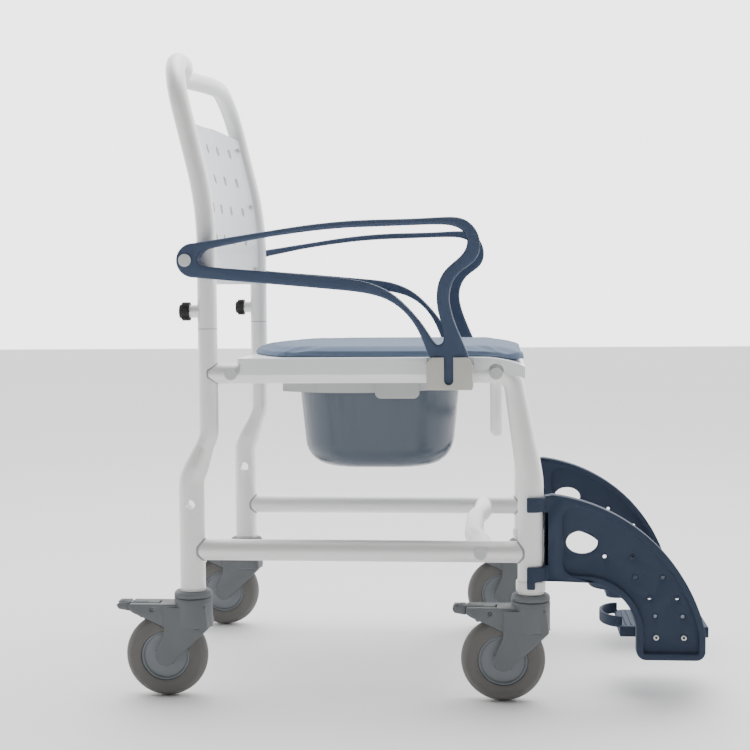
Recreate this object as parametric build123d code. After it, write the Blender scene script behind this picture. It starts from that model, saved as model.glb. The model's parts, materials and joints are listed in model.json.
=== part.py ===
from build123d import *
import math
import os

# Wheeled shower commode chair, in millimetres.
# +X is forward (the way the sitter faces), +Y is the sitter's left, +Z is up.
# The working frame has X = 0 on the rear posts' upper centreline and Z = 0 on
# the floor. Everything is moved along X at the end, so that the origin of the
# written parts is the middle of the overall box, on the floor.

# ---------------------------------------------------------------- frame sizes
HALF_TRACK = 225.0          # middle plane to the centreline of a side frame
SEAT_RAIL_Z = 488.0         # seat rail centreline height
LOWER_RAIL_Z = 222.5        # lower side rail centreline height
SEAM_Z = SEAT_RAIL_Z + 67.0 # where the backrest hoop meets the rear post
WALL = 2.0                  # tube wall
POST_R = 14.5               # upper rear post and backrest hoop
LEG_R = 19.0                # lower stretch of posts and legs
SEAT_RAIL_R = 15.0
LOWER_RAIL_R = 16.0
REAR_FOOT_X = -28.0         # lower rear post centreline
FRONT_FOOT_X = 479.0        # lower front leg centreline
TUBE_END_Z = 165.0          # lower end of posts and legs
REAR_BEND_TOP_Z = SEAT_RAIL_Z - 91.0
REAR_BEND_LOW_Z = REAR_BEND_TOP_Z - 67.0
REAR_BEND_R = 45.0
REAR_BEND_SHARE = 0.45      # straight left beside a rear bend, per bend radius
FRONT_TOP_X = 452.0         # corner between seat rail and front leg
FRONT_BEND_R = 25.0
FRONT_BEND_LOW_Z = 330.0    # stays above the hangers' upper clips
FRONT_BEND_LOW_R = 120.0
TOP_BEND_SHARE = 1.1        # the same for the front leg's top and low bends
LOW_BEND_SHARE = 0.25
RAIL_JOINT_X = 408.0        # weld between seat rail and front leg
SPIGOT_DOWN = 55.0          # spigot length inside the post
SPIGOT_UP = 90.0            # spigot length inside the hoop
SLIDE_GAP = 0.1             # radial play of sliding tubes
ACCESSORY_BORE_R = 8.0      # through hole in each rear post
ACCESSORY_BORE_Z = LOWER_RAIL_Z + 0.65 * (REAR_BEND_LOW_Z - LOWER_RAIL_Z)
BORE_WALL = 2.0             # sleeve round the accessory bore

# ---------------------------------------------------------------- cross tubes
CROSS_R = 9.0               # seat level cross tubes
REAR_CROSS_X = 37.0
FRONT_CROSS_X = 429.0
DROP_Y = HALF_TRACK - 39.0  # half width of the dropped front cross tube
DROP_Z = SEAT_RAIL_Z - 90.5 # height of its lower run
DROP_BEND_R = 21.5
LOWER_CROSS_R = 15.0
LOWER_CROSS_X = 405.0
LOWER_CROSS_BOW = 12.0      # how far its middle stands back
BOW_START = 0.66            # its bow starts and ends at these shares of HALF_TRACK
BOW_END = 0.36
LOWER_BEND_R = 33.0
BOLT_R = 4.0
CAP_R = 9.4
CAP_PROUD = 3.0
NUT_PLATE = 8.0             # thickness of the nut plate in a cross tube end

# ------------------------------------------------------------------- backrest
LEAN_START_Z = SEAT_RAIL_Z + 192.0
LEAN_R = 500.0
LEAN_DEG = 13.5
HOOP_TOP_Z = SEAT_RAIL_Z + 472.0    # crossbar centreline
HOOP_CORNER_R = 78.0
HOOP_BOW = 30.0             # how far the crossbar's middle stands back
PANEL_LOW_Z = SEAT_RAIL_Z + 134.0
PANEL_TOP_Z = SEAT_RAIL_Z + 405.0
PANEL_T = 11.0
PANEL_EDGE_IN = 4.5         # its edges reach this close to the uprights' centrelines
PANEL_BOW = 34.0            # how far the middle of the panel stands back
PANEL_CROWN = 16.0          # how much its top edge dips at the sides
HOLE_W = 11.0
HOLE_H = 17.0
HOLE_PITCH_Y = HALF_TRACK * 0.24
HOLE_PITCH_Z = 51.0
HOLE_COLUMNS = 7
HOLE_ROWS = 4
HOLE_TOP_Z = PANEL_TOP_Z - 43.0
PIN_R = 3.0
PIN_DEPTH = 17.0            # length of a pin inside the back panel
PIN_HEIGHTS = (PANEL_LOW_Z + 28.0, PANEL_LOW_Z + 138.0, PANEL_TOP_Z - 33.0)
BOSS_R = 9.5
BOSS_LENGTH = 11.0
KNOB_Z = SEAM_Z + 26.0
KNOB_R = 14.5
KNOB_T = 15.0
KNOB_LOBES = 6
KNOB_CROWN = 4.0            # thinner outer face
KNOB_GAP = 0.5              # from the boss to the knob
LOBE_GAP_R = 4.2            # hollow between two lobes
STUD_R = 3.0
STUD_ROOT = 5.0             # stud length inside the knob

# ------------------------------------------------------------------ armrests
ARM_INNER_Y = HALF_TRACK + POST_R + 5.0   # inner face of an armrest, from the middle plane
ARM_T = 27.0
PIVOT_X = -22.5
PIVOT_Z = SEAT_RAIL_Z + 168.0
PIVOT_R = 5.0
PIVOT_HEAD_R = 9.3
PIVOT_HEAD_T = 2.5
HEAD_GAP = 0.3              # play under a shoulder bolt's head
LUG_R = 11.5
WEB_HALF_H = 9.0            # web between the lug and the tube
RUN_GAP = 0.05              # radial play of running pins
FACE_GAP = 1.0              # play beside turning faces
ARM_END_R = 25.0            # the round rear end of the armrest
ARM_END_X = -11.0
TONGUE_W = 30.0
TONGUE_Z = SEAT_RAIL_Z - SEAT_RAIL_R - 3.0
ARM_FOOT_X = 361.0          # middle of the armrest's foot
BRACKET_W = 66.0
BRACKET_TOP_Z = SEAT_RAIL_Z + SEAT_RAIL_R + 10.0
BRACKET_T = 3.0
BRACKET_FLOOR_T = 3.0
BRACKET_STOP_T = 2.5
BRACKET_REST = 8.0          # from the rail's centre to where the seat base meets the socket
BRACKET_SLOT_W = 13.5
BRACKET_CORNER = 8.0
SLOT_RISE = 10.0            # window's lower end above the tongue's

# ---------------------------------------------------------------------- seat
SEAT_BASE_T = 8.0
SEAT_REAR_X = 47.0
SEAT_NOSE_X = 471.0
SEAT_DROP_X = 405.0         # where the top starts to curve down to the nose
SEAT_NOSE_DROP = 13.0
SKIRT_T = 2.5
SKIRT_DEPTH = 24.0
SKIRT_GAP = 0.3
OPENING_X = 235.0
OPENING_LX = 240.0
OPENING_LY = 205.0
GUARD_DEPTH = 16.0
GUARD_T = 3.0
PAD_T = 13.0
PAD_GAP = 0.4
PAD_HALF_Y = HALF_TRACK - 11.0
PAD_REAR_X = 36.0
PAD_FRONT_X = 474.0
PAD_SIDE_X = 108.0          # where the round rear of the pad meets its sides

# ----------------------------------------------------------------------- pan
PAN_X = 240.0
PAN_RIM_Z = SEAT_RAIL_Z - SEAT_RAIL_R - 6.0
PAN_LX = 258.0              # inner length of the bowl at its rim
PAN_LY = 270.0
PAN_DEPTH = 137.0
PAN_WALL = 2.6
PAN_TAPER_DEG = 5.5
PAN_FLANGE = 13.0
PAN_FLANGE_T = 4.0
PAN_CORNER_R = 105.0
PAN_FOOT_R = 42.0
SLIDE_X0 = 101.0
SLIDE_X1 = 394.0
SLIDE_LOW_Z = PAN_RIM_Z - 11.0
SLIDE_SAG = 2.5             # how far the middle of its lower edge hangs
SLIDE_FRONT_RISE = 7.0
SLIDE_T = 3.0
LIP_T = 3.0
LIP_W = 17.0
LATCH_X = 278.0
LATCH_L = 68.0
LATCH_DROP = 9.0
LATCH_T = 3.0

# ------------------------------------------------------------------- casters
WHEEL_R = 62.5
TYRE_W = 32.0
CORE_R = 37.0
CORE_W = 28.0
TREAD_R = 15.0              # rounding of the tyre's shoulders
TRAIL = 41.0
SWIVEL_R = 6.0
HOUSING_R = 28.5
HOUSING_TOP_Z = 151.0
HOUSING_LOW_Z = 106.0
RING_R = 19.4               # flange under the tube end
RING_T = 4.0
WHEEL_GAP = 3.0
CHEEK_T = 6.0
AXLE_R = 4.0
AXLE_COVER = 1.5            # skin of the cheek outside the axle's end
FORK_END_R = 14.5
HOOD_TOP_Z = 142.0
HOOD_REAR_X = -95.0
HOOD_HALF_W = 19.0
PEDAL_HALF_W = 8.5
PEDAL_TIP_X = -116.0
PEDAL_TIP_HALF_W = 13.0
PEDAL_PIVOT_X = -60.0
PEDAL_PIVOT_Z = 134.0
PEDAL_PIN_R = 2.5

# ------------------------------------------------------------------ footrests
LATCH_RING_R = 21.75
LATCH_RING_H = 16.0
CLIP_R = 25.5
CLIP_GAP = 0.3
CLIP_H = 21.5
CLIP_TOP_Z = 306.0          # upper edge of the upper clip
CLIP_BACK = 6.0             # how far the clips reach behind the leg's centre
HANGER_T = 20.0
POCKET_DEPTH = 6.5
POCKET_MARGIN = 10.0
POCKET_X0 = 526.0
POCKET_CORNER_R = 18.0
HANGER_LOW_Z = 65.0
HANGER_FRONT_X = 733.0
HANGER_BACK_X = 633.0
HANGER_CORNER_R = 14.0
HANGER_GAP = 0.4            # from the leg to the hanger's edge
HANGER_HOLE_R = 2.9
HOLE_PAIR = 40.0            # spacing of the two holes of a height setting
HEIGHT_SETTINGS = ((662.0, 98.0), (660.6, 129.0), (652.5, 156.0), (631.5, 187.0), (587.0, 217.0))
WINDOW = (554.0, 238.0, 23.0, 17.0)
PLATE_X0 = 613.0
PLATE_X1 = 744.0
PLATE_T = 16.0
PLATE_TOP_Z = 104.0
PLATE_DEPTH_Y = 118.0
PLATE_CORNER_R = 16.0
HINGE_Y_IN = 22.0           # fold hinge axis, from the hanger's inner face
HINGE_R = 3.0
KNUCKLE_R = 7.0
SIDE_BLOCK_T = 4.0
LOOP_REACH = 31.0
LOOP_T = 4.0
LOOP_H = 17.0
SCREW_HEAD_R = 4.2
SCREW_HEAD_T = 2.0

LEAN = math.radians(LEAN_DEG)
RAIL_TOP_Z = SEAT_RAIL_Z + SEAT_RAIL_R
SEAT_TOP_Z = RAIL_TOP_Z + SEAT_BASE_T
SKIRT_IN_Y = HALF_TRACK + SEAT_RAIL_R + SKIRT_GAP
SKIRT_OUT_Y = SKIRT_IN_Y + SKIRT_T
SLIDE_IN_Y = PAN_LY / 2 + PAN_FLANGE + 3.0
BRACKET_Y = ARM_INNER_Y + ARM_T + FACE_GAP
BRACKET_X0 = ARM_FOOT_X + 1.0 - BRACKET_W / 2
BRACKET_X1 = BRACKET_X0 + BRACKET_W
LUG_IN_Y = HALF_TRACK - 5.0     # the pivot lugs grow into the tube up to here
PIN_IN_Y = HALF_TRACK - POST_R - PIN_DEPTH
COLLAR_TOP_Z = TUBE_END_Z - RING_T


# -------------------------------------------------------------------- helpers
def rod(centre, direction, radius, length):
    """A solid cylinder that starts at centre and runs along direction."""
    plane = Plane(origin=centre, z_dir=direction)
    return plane * Cylinder(radius, length, align=(Align.CENTER, Align.CENTER, Align.MIN))


def swept(path, radius):
    """A solid round bar of that radius along a path."""
    section = Plane(origin=path @ 0, z_dir=path % 0) * Circle(radius)
    return sweep(section, path=path)


def tapered(start, end, r_start, r_end):
    """A solid cone from one point to another."""
    run = Vector(*end) - Vector(*start)
    plane = Plane(origin=start, z_dir=run)
    return plane * Cone(r_start, r_end, run.length, align=(Align.CENTER, Align.CENTER, Align.MIN))


def towards(start, end, distance):
    """The point at a distance from start on the way to end."""
    step = (Vector(*end) - Vector(*start)).normalized() * distance
    return tuple(Vector(*start) + step)


def block(x, y, z):
    """A box from three (low, high) pairs."""
    size = (x[1] - x[0], y[1] - y[0], z[1] - z[0])
    middle = Pos((x[0] + x[1]) / 2, (y[0] + y[1]) / 2, (z[0] + z[1]) / 2)
    return middle * Box(*size)


def side_plate(face, y_low, y_high):
    """A face drawn in X and Z, made solid from y_low to y_high."""
    stood = Plane(origin=(0, y_high, 0), x_dir=(1, 0, 0), z_dir=(0, -1, 0)) * face
    return extrude(stood, amount=y_high - y_low, dir=(0, -1, 0))


def to_side(shape, side):
    """A right-hand shape (negative Y), or its mirror for the left side."""
    return shape if side == "right" else mirror(shape, about=Plane.XZ)


def merged(shapes):
    """One solid from shapes that touch or overlap."""
    whole = shapes[0]
    for shape in shapes[1:]:
        whole = whole + shape
    return whole


# ---------------------------------------------------------------- side frames
def rear_post_bar(post_r, leg_r, y):
    """The rear post's solid outline for given radii: upper tube, bend, lower tube."""
    top = (0, y, SEAM_Z)
    knee = (0, y, REAR_BEND_TOP_Z)
    ankle = (REAR_FOOT_X, y, REAR_BEND_LOW_Z)
    foot = (REAR_FOOT_X, y, TUBE_END_Z)
    reach = REAR_BEND_R * REAR_BEND_SHARE
    knee_end = towards(knee, ankle, reach)
    ankle_start = towards(ankle, knee, reach)
    upper = swept(FilletPolyline(top, knee, knee_end, radius=REAR_BEND_R), post_r)
    lower = swept(FilletPolyline(ankle_start, ankle, foot, radius=REAR_BEND_R), leg_r)
    return merged([upper, tapered(knee_end, ankle_start, post_r, leg_r), lower])


def front_leg_bar(rail_r, leg_r, y):
    """The front leg's solid outline: short rail stretch, bend, taper, lower tube."""
    start = (RAIL_JOINT_X, y, SEAT_RAIL_Z)
    corner = (FRONT_TOP_X, y, SEAT_RAIL_Z)
    knee = (FRONT_FOOT_X, y, FRONT_BEND_LOW_Z)
    foot = (FRONT_FOOT_X, y, TUBE_END_Z)
    corner_end = towards(corner, knee, FRONT_BEND_R * TOP_BEND_SHARE)
    knee_start = towards(knee, corner, FRONT_BEND_LOW_R * LOW_BEND_SHARE)
    upper = swept(FilletPolyline(start, corner, corner_end, radius=FRONT_BEND_R), rail_r)
    lower = swept(FilletPolyline(knee_start, knee, foot, radius=FRONT_BEND_LOW_R), leg_r)
    return merged([upper, tapered(corner_end, knee_start, rail_r, leg_r), lower])


def bolt_hole(x, z, side_y):
    """The tool for one frame bolt's hole through a side frame tube."""
    return rod((x, side_y - 2 * LEG_R, z), (0, 1, 0), BOLT_R, 4 * LEG_R)


def side_frame():
    """Rear post, seat rail, front leg and lower rail of the right side frame."""
    y = -HALF_TRACK
    post_outer = rear_post_bar(POST_R, LEG_R, y)
    post = post_outer - rear_post_bar(POST_R - WALL, LEG_R - WALL, y)
    bore_r = POST_R - WALL
    spigot = rod((0, y, SEAM_Z - SPIGOT_DOWN), (0, 0, 1), bore_r, SPIGOT_DOWN)
    spigot += rod((0, y, SEAM_Z), (0, 0, 1), bore_r - SLIDE_GAP, SPIGOT_UP)
    spigot -= rod((0, y, SEAM_Z - SPIGOT_DOWN), (0, 0, 1), bore_r - 2 * WALL, SPIGOT_DOWN + SPIGOT_UP)
    sleeve_start = (REAR_FOOT_X, y - LEG_R, ACCESSORY_BORE_Z)
    sleeve = rod(sleeve_start, (0, 1, 0), ACCESSORY_BORE_R + BORE_WALL, 2 * LEG_R) & post_outer
    post = (post + spigot) + sleeve
    post -= rod(sleeve_start, (0, 1, 0), ACCESSORY_BORE_R, 2 * LEG_R)

    leg_outer = front_leg_bar(SEAT_RAIL_R, LEG_R, y)
    leg = leg_outer - front_leg_bar(SEAT_RAIL_R - WALL, LEG_R - WALL, y)
    leg -= bolt_hole(FRONT_CROSS_X, SEAT_RAIL_Z, y)

    seat_rail = rod((0, y, SEAT_RAIL_Z), (1, 0, 0), SEAT_RAIL_R, RAIL_JOINT_X)
    seat_rail -= rod((0, y, SEAT_RAIL_Z), (1, 0, 0), SEAT_RAIL_R - WALL, RAIL_JOINT_X)
    seat_rail = seat_rail - post_outer - bolt_hole(REAR_CROSS_X, SEAT_RAIL_Z, y)

    reach = FRONT_FOOT_X - REAR_FOOT_X
    lower_rail = rod((REAR_FOOT_X, y, LOWER_RAIL_Z), (1, 0, 0), LOWER_RAIL_R, reach)
    lower_rail -= rod((REAR_FOOT_X, y, LOWER_RAIL_Z), (1, 0, 0), LOWER_RAIL_R - WALL, reach)
    lower_rail = lower_rail - post_outer - leg_outer
    lower_rail -= bolt_hole(LOWER_CROSS_X, LOWER_RAIL_Z, y)
    return {
        "rear_post": post,
        "seat_rail": seat_rail,
        "front_leg": leg,
        "lower_rail": lower_rail,
    }


# ---------------------------------------------------------------- cross tubes
def cross_tube(path, tube_r, x, z, rail_r, cutters):
    """A cross tube between the side frames: coped to their rails, solid at its ends, bored."""
    hollow_y = HALF_TRACK - rail_r - 1.0 - NUT_PLATE
    bore = swept(path, tube_r - WALL) & block((0, FRONT_FOOT_X), (-hollow_y, hollow_y), (0, SEAM_Z))
    tube = swept(path, tube_r) - bore
    for cutter in cutters:
        tube = tube - cutter
    for sign in (-1, 1):
        tube = tube - rod((x, sign * HALF_TRACK, z), (0, -sign, 0), BOLT_R, HALF_TRACK - hollow_y)
    return tube


def cross_tubes():
    """Rear, dropped front and lower cross tubes."""
    y = HALF_TRACK
    sides = (-y, y)
    rails = [rod((0, at, SEAT_RAIL_Z), (1, 0, 0), SEAT_RAIL_R, RAIL_JOINT_X) for at in sides]
    legs = [front_leg_bar(SEAT_RAIL_R, LEG_R, at) for at in sides]
    low_rails = [rod((0, at, LOWER_RAIL_Z), (1, 0, 0), LOWER_RAIL_R, FRONT_FOOT_X) for at in sides]
    rear_path = Line((REAR_CROSS_X, -y, SEAT_RAIL_Z), (REAR_CROSS_X, y, SEAT_RAIL_Z))
    drop_path = FilletPolyline(
        (FRONT_CROSS_X, -y, SEAT_RAIL_Z),
        (FRONT_CROSS_X, -DROP_Y, SEAT_RAIL_Z),
        (FRONT_CROSS_X, -DROP_Y, DROP_Z),
        (FRONT_CROSS_X, DROP_Y, DROP_Z),
        (FRONT_CROSS_X, DROP_Y, SEAT_RAIL_Z),
        (FRONT_CROSS_X, y, SEAT_RAIL_Z),
        radius=DROP_BEND_R,
    )
    back_x = LOWER_CROSS_X - LOWER_CROSS_BOW
    bow_path = FilletPolyline(
        (LOWER_CROSS_X, -y, LOWER_RAIL_Z),
        (LOWER_CROSS_X, -BOW_START * y, LOWER_RAIL_Z),
        (back_x, -BOW_END * y, LOWER_RAIL_Z),
        (back_x, BOW_END * y, LOWER_RAIL_Z),
        (LOWER_CROSS_X, BOW_START * y, LOWER_RAIL_Z),
        (LOWER_CROSS_X, y, LOWER_RAIL_Z),
        radius=LOWER_BEND_R,
    )
    return {
        "rear_cross_tube": cross_tube(
            rear_path, CROSS_R, REAR_CROSS_X, SEAT_RAIL_Z, SEAT_RAIL_R, rails
        ),
        "front_drop_tube": cross_tube(
            drop_path, CROSS_R, FRONT_CROSS_X, SEAT_RAIL_Z, SEAT_RAIL_R, legs
        ),
        "lower_cross_tube": cross_tube(
            bow_path, LOWER_CROSS_R, LOWER_CROSS_X, LOWER_RAIL_Z, LOWER_RAIL_R, low_rails
        ),
    }


def frame_bolts():
    """The bolts that hold the cross tubes, and the caps that cover their heads."""
    bolts, caps = [], []
    for sign in (-1, 1):
        y = sign * HALF_TRACK
        seat_rail = rod((0, y, SEAT_RAIL_Z), (1, 0, 0), SEAT_RAIL_R, RAIL_JOINT_X)
        lower_rail = rod((0, y, LOWER_RAIL_Z), (1, 0, 0), LOWER_RAIL_R, FRONT_FOOT_X)
        places = (
            (REAR_CROSS_X, SEAT_RAIL_Z, SEAT_RAIL_R, seat_rail),
            (FRONT_CROSS_X, SEAT_RAIL_Z, SEAT_RAIL_R, front_leg_bar(SEAT_RAIL_R, LEG_R, y)),
            (LOWER_CROSS_X, LOWER_RAIL_Z, LOWER_RAIL_R, lower_rail),
        )
        for x, z, rail_r, tube in places:
            outside = sign * (HALF_TRACK + rail_r)
            depth = 2 * rail_r + 1 + NUT_PLATE
            bolt = rod((x, outside, z), (0, -sign, 0), BOLT_R, depth)
            cap = rod((x, outside + sign * CAP_PROUD, z), (0, -sign, 0), CAP_R, 3 * CAP_PROUD)
            cap = fillet(cap.faces().sort_by(Axis.Y)[0 if sign < 0 else -1].edges(), 1.2)
            bolts.append(bolt)
            caps.append(cap - tube - bolt)
    return {"frame_bolts": Compound(bolts), "bolt_caps": Compound(caps)}


# ------------------------------------------------------------------- backrest
def hoop_x(z):
    """The hoop centreline's X at a height: upright, then an arc, then a straight lean."""
    arc_top = LEAN_START_Z + LEAN_R * math.sin(LEAN)
    if z <= LEAN_START_Z:
        return 0.0
    if z <= arc_top:
        return LEAN_R * (math.cos(math.asin((z - LEAN_START_Z) / LEAN_R)) - 1)
    return LEAN_R * (math.cos(LEAN) - 1) - (z - arc_top) * math.tan(LEAN)


def lean_arc(y):
    """The hoop's bend between its upright and its leaning stretch."""
    points = []
    for turn in (0, LEAN / 2, LEAN):
        x = LEAN_R * (math.cos(turn) - 1)
        points.append((x, y, LEAN_START_Z + LEAN_R * math.sin(turn)))
    return ThreePointArc(*points)


def hoop_path():
    """The hoop's centreline from the right seam over the crossbar to the left seam."""
    slope = Vector(-math.sin(LEAN), 0, math.cos(LEAN))
    across = Vector(0, 1, 0)
    y = HALF_TRACK
    top = Vector(hoop_x(HOOP_TOP_Z), 0, HOOP_TOP_Z)
    edges = []
    for sign in (-1, 1):
        foot = Line((0, sign * y, SEAM_Z), (0, sign * y, LEAN_START_Z))
        bend = lean_arc(sign * y)
        corner = top + across * (sign * y)
        start = corner - slope * HOOP_CORNER_R
        end = corner - across * (sign * HOOP_CORNER_R)
        centre = start - across * (sign * HOOP_CORNER_R)
        middle = centre + (slope + across * sign) * (HOOP_CORNER_R / math.sqrt(2))
        run = Line(bend @ 1, start)
        edges += [foot, bend, run, ThreePointArc(start, middle, end)]
    bar_y = y - HOOP_CORNER_R
    middle = top - Vector(HOOP_BOW, 0, 0)
    bar = Spline(top - across * bar_y, middle, top + across * bar_y, tangents=(across, across))
    edges.append(bar)
    return Wire(edges)


def hoop():
    """The bent backrest tube with its knob bosses and armrest lugs."""
    path = hoop_path()
    outer = swept(path, POST_R)
    inner = swept(path, POST_R - WALL)
    tube = outer - inner
    for sign in (-1, 1):
        y = sign * HALF_TRACK
        boss = rod((-POST_R - BOSS_LENGTH, y, KNOB_Z), (1, 0, 0), BOSS_R, POST_R + BOSS_LENGTH)
        lug_start = (PIVOT_X, sign * LUG_IN_Y, PIVOT_Z)
        lug = rod(lug_start, (0, sign, 0), LUG_R, ARM_INNER_Y - FACE_GAP - LUG_IN_Y)
        web_y = sorted((sign * LUG_IN_Y, sign * (HALF_TRACK + POST_R / 2)))
        web = block((PIVOT_X, 0), web_y, (PIVOT_Z - WEB_HALF_H, PIVOT_Z + WEB_HALF_H))
        tube = tube + (boss - inner) + ((lug + web) - inner)
        tube -= rod((-POST_R - BOSS_LENGTH, y, KNOB_Z), (1, 0, 0), STUD_R, POST_R + BOSS_LENGTH)
        tube -= rod(lug_start, (0, sign, 0), PIVOT_R, ARM_INNER_Y - LUG_IN_Y)
        for z in PIN_HEIGHTS:
            inside = HALF_TRACK - POST_R - 1
            tube -= rod((hoop_x(z), sign * inside, z), (0, sign, 0), PIN_R, POST_R)
    return tube, outer


def back_panel(hoop_outer):
    """The curved back panel between the uprights, with its grid of round holes."""
    edge_y = HALF_TRACK - PANEL_EDGE_IN
    arc = ThreePointArc((0, -edge_y, PANEL_LOW_Z), (-PANEL_BOW, 0, PANEL_LOW_Z), (0, edge_y, PANEL_LOW_Z))
    front = arc.moved(Location((PANEL_T / 2, 0, 0)))
    back = arc.moved(Location((-PANEL_T / 2, 0, 0)))
    section = make_face(
        Wire([front, Line(front @ 1, back @ 1), back, Line(back @ 0, front @ 0)])
    )
    bend = lean_arc(0)
    top_x = hoop_x(PANEL_TOP_Z)
    spine = Wire([
        Line((0, 0, PANEL_LOW_Z), (0, 0, LEAN_START_Z)),
        bend,
        Line(bend @ 1, (top_x, 0, PANEL_TOP_Z)),
    ])
    panel = sweep(section, path=spine) - hoop_outer
    crown = 0.5 * (edge_y ** 2 / PANEL_CROWN + PANEL_CROWN)
    keep = rod((-edge_y, 0, PANEL_TOP_Z - crown), (1, 0, 0), crown, 2 * edge_y)
    below = block((-edge_y, edge_y), (-edge_y, edge_y), (PANEL_LOW_Z, PANEL_TOP_Z - 2 * PANEL_CROWN))
    panel = panel & (keep + below)
    slot = SlotOverall(HOLE_H, HOLE_W)
    reach = 2 * PANEL_BOW + PANEL_T - hoop_x(PANEL_TOP_Z)
    for row in range(HOLE_ROWS):
        z = HOLE_TOP_Z - row * HOLE_PITCH_Z
        for column in range(HOLE_COLUMNS):
            y = (column - (HOLE_COLUMNS - 1) / 2) * HOLE_PITCH_Y
            wall = Plane(origin=(0, y, z), x_dir=(0, 0, 1), z_dir=(-1, 0, 0))
            panel -= extrude(wall * slot, amount=reach, both=True)
    for sign in (-1, 1):
        for z in PIN_HEIGHTS:
            panel -= rod((hoop_x(z), sign * PIN_IN_Y, z), (0, sign, 0), PIN_R, PIN_DEPTH + POST_R)
    return panel


def panel_pins():
    """Pins from the hoop's uprights into the edges of the back panel."""
    pins = []
    for sign in (-1, 1):
        for z in PIN_HEIGHTS:
            pins.append(rod((hoop_x(z), sign * PIN_IN_Y, z), (0, sign, 0), PIN_R, PIN_DEPTH + WALL))
    return Compound(pins)


def clamp_knob():
    """The right clamp knob: a lobed hand grip and its stud, which ends on the spigot."""
    face_x = -POST_R - BOSS_LENGTH - KNOB_GAP
    y = -HALF_TRACK
    grip = rod((face_x, y, KNOB_Z), (-1, 0, 0), KNOB_R, KNOB_T - KNOB_CROWN)
    waist = rod((face_x - KNOB_T + KNOB_CROWN, y, KNOB_Z), (-1, 0, 0), KNOB_R - KNOB_CROWN, KNOB_CROWN)
    knob = grip + waist
    for lobe in range(KNOB_LOBES):
        turn = 2 * math.pi * (lobe + 0.5) / KNOB_LOBES
        reach = KNOB_R + LOBE_GAP_R / 3
        centre = (face_x + 1, y + reach * math.cos(turn), KNOB_Z + reach * math.sin(turn))
        knob -= rod(centre, (-1, 0, 0), LOBE_GAP_R, KNOB_T + 2)
    stud_end = -(POST_R - WALL) - SLIDE_GAP
    root_x = face_x - STUD_ROOT
    return knob + rod((root_x, y, KNOB_Z), (1, 0, 0), STUD_R - RUN_GAP, stud_end - root_x)


# ------------------------------------------------------------------- armrests
def arm_points(*offsets):
    """Points of the armrest's outline from (X, height above the pivot) pairs."""
    return [(x, PIVOT_Z + rise) for x, rise in offsets]


def armrest():
    """The right armrest: a closed loop with a round rear eye and a tongue at its foot."""
    eye_top = (ARM_END_X, PIVOT_Z + ARM_END_R)
    eye_low = (ARM_END_X, PIVOT_Z - ARM_END_R)
    foot_front = (ARM_FOOT_X + 29.5, BRACKET_TOP_Z - 1)
    foot_back = (ARM_FOOT_X - 28, BRACKET_TOP_Z - 1)
    eye = ThreePointArc(eye_low, (ARM_END_X - ARM_END_R, PIVOT_Z), eye_top)
    top = Spline(
        eye_top, *arm_points(
            (91, 40), (172, 51), (254, 56), (318, 57), (360, 58.5), (384, 55), (400, 41), (406.5, 22),
            (401, -1), (376, -22), (362, -53), (364.5, -76),
        ), foot_front, tangents=((1, 0.14), (0.35, -1)),
    )
    foot = Line(foot_front, foot_back)
    low = Spline(
        foot_back, *arm_points(
            (314, -99), (295, -75), (268, -57.5), (236, -49), (188, -43.5), (90, -34),
        ), eye_low, tangents=((-0.35, 1), (-1, 0.09)),
    )
    body = make_face(Wire([eye, top, foot, low]))
    loop = Spline(
        *arm_points(
            (-4, 2.5), (2, 13), (20, 19), (58, 26.5), (124, 37), (205, 45), (286, 47.5), (345, 48.5),
            (366, 46.5), (381, 39), (388, 26), (386, 13), (376, 0), (357, -17), (347, -35), (344, -55),
            (345.5, -74), (351, -96), (354, -113), (352, -122), (345, -125), (337.5, -118), (323, -96),
            (301, -70), (278, -50), (246, -35), (188, -25.5), (91, -16.5), (12, -9.5), (0, -6),
        ), periodic=True,
    )
    body = body - make_face(Wire([loop]))
    outer_y = -(ARM_INNER_Y + ARM_T)
    solid = side_plate(body, outer_y, -ARM_INNER_Y)
    tongue = block(
        (ARM_FOOT_X - TONGUE_W / 2, ARM_FOOT_X + TONGUE_W / 2),
        (outer_y, -ARM_INNER_Y - 2),
        (TONGUE_Z, BRACKET_TOP_Z + 5),
    )
    tongue = fillet(
        tongue.edges().filter_by(Axis.Y).group_by(Axis.Z)[0], 0.4 * TONGUE_W
    )
    solid = solid + tongue
    return solid - rod((PIVOT_X, outer_y - 1, PIVOT_Z), (0, 1, 0), PIVOT_R + RUN_GAP, ARM_T + 2)


def pivot_bolts():
    """The two shoulder bolts that the armrests turn on."""
    bolts = []
    for sign in (-1, 1):
        outer = ARM_INNER_Y + ARM_T + HEAD_GAP
        shank = rod((PIVOT_X, sign * LUG_IN_Y, PIVOT_Z), (0, sign, 0), PIVOT_R, outer - LUG_IN_Y)
        head = rod((PIVOT_X, sign * outer, PIVOT_Z), (0, sign, 0), PIVOT_HEAD_R, PIVOT_HEAD_T)
        bolts.append(shank + head)
    return Compound(bolts)


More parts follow.
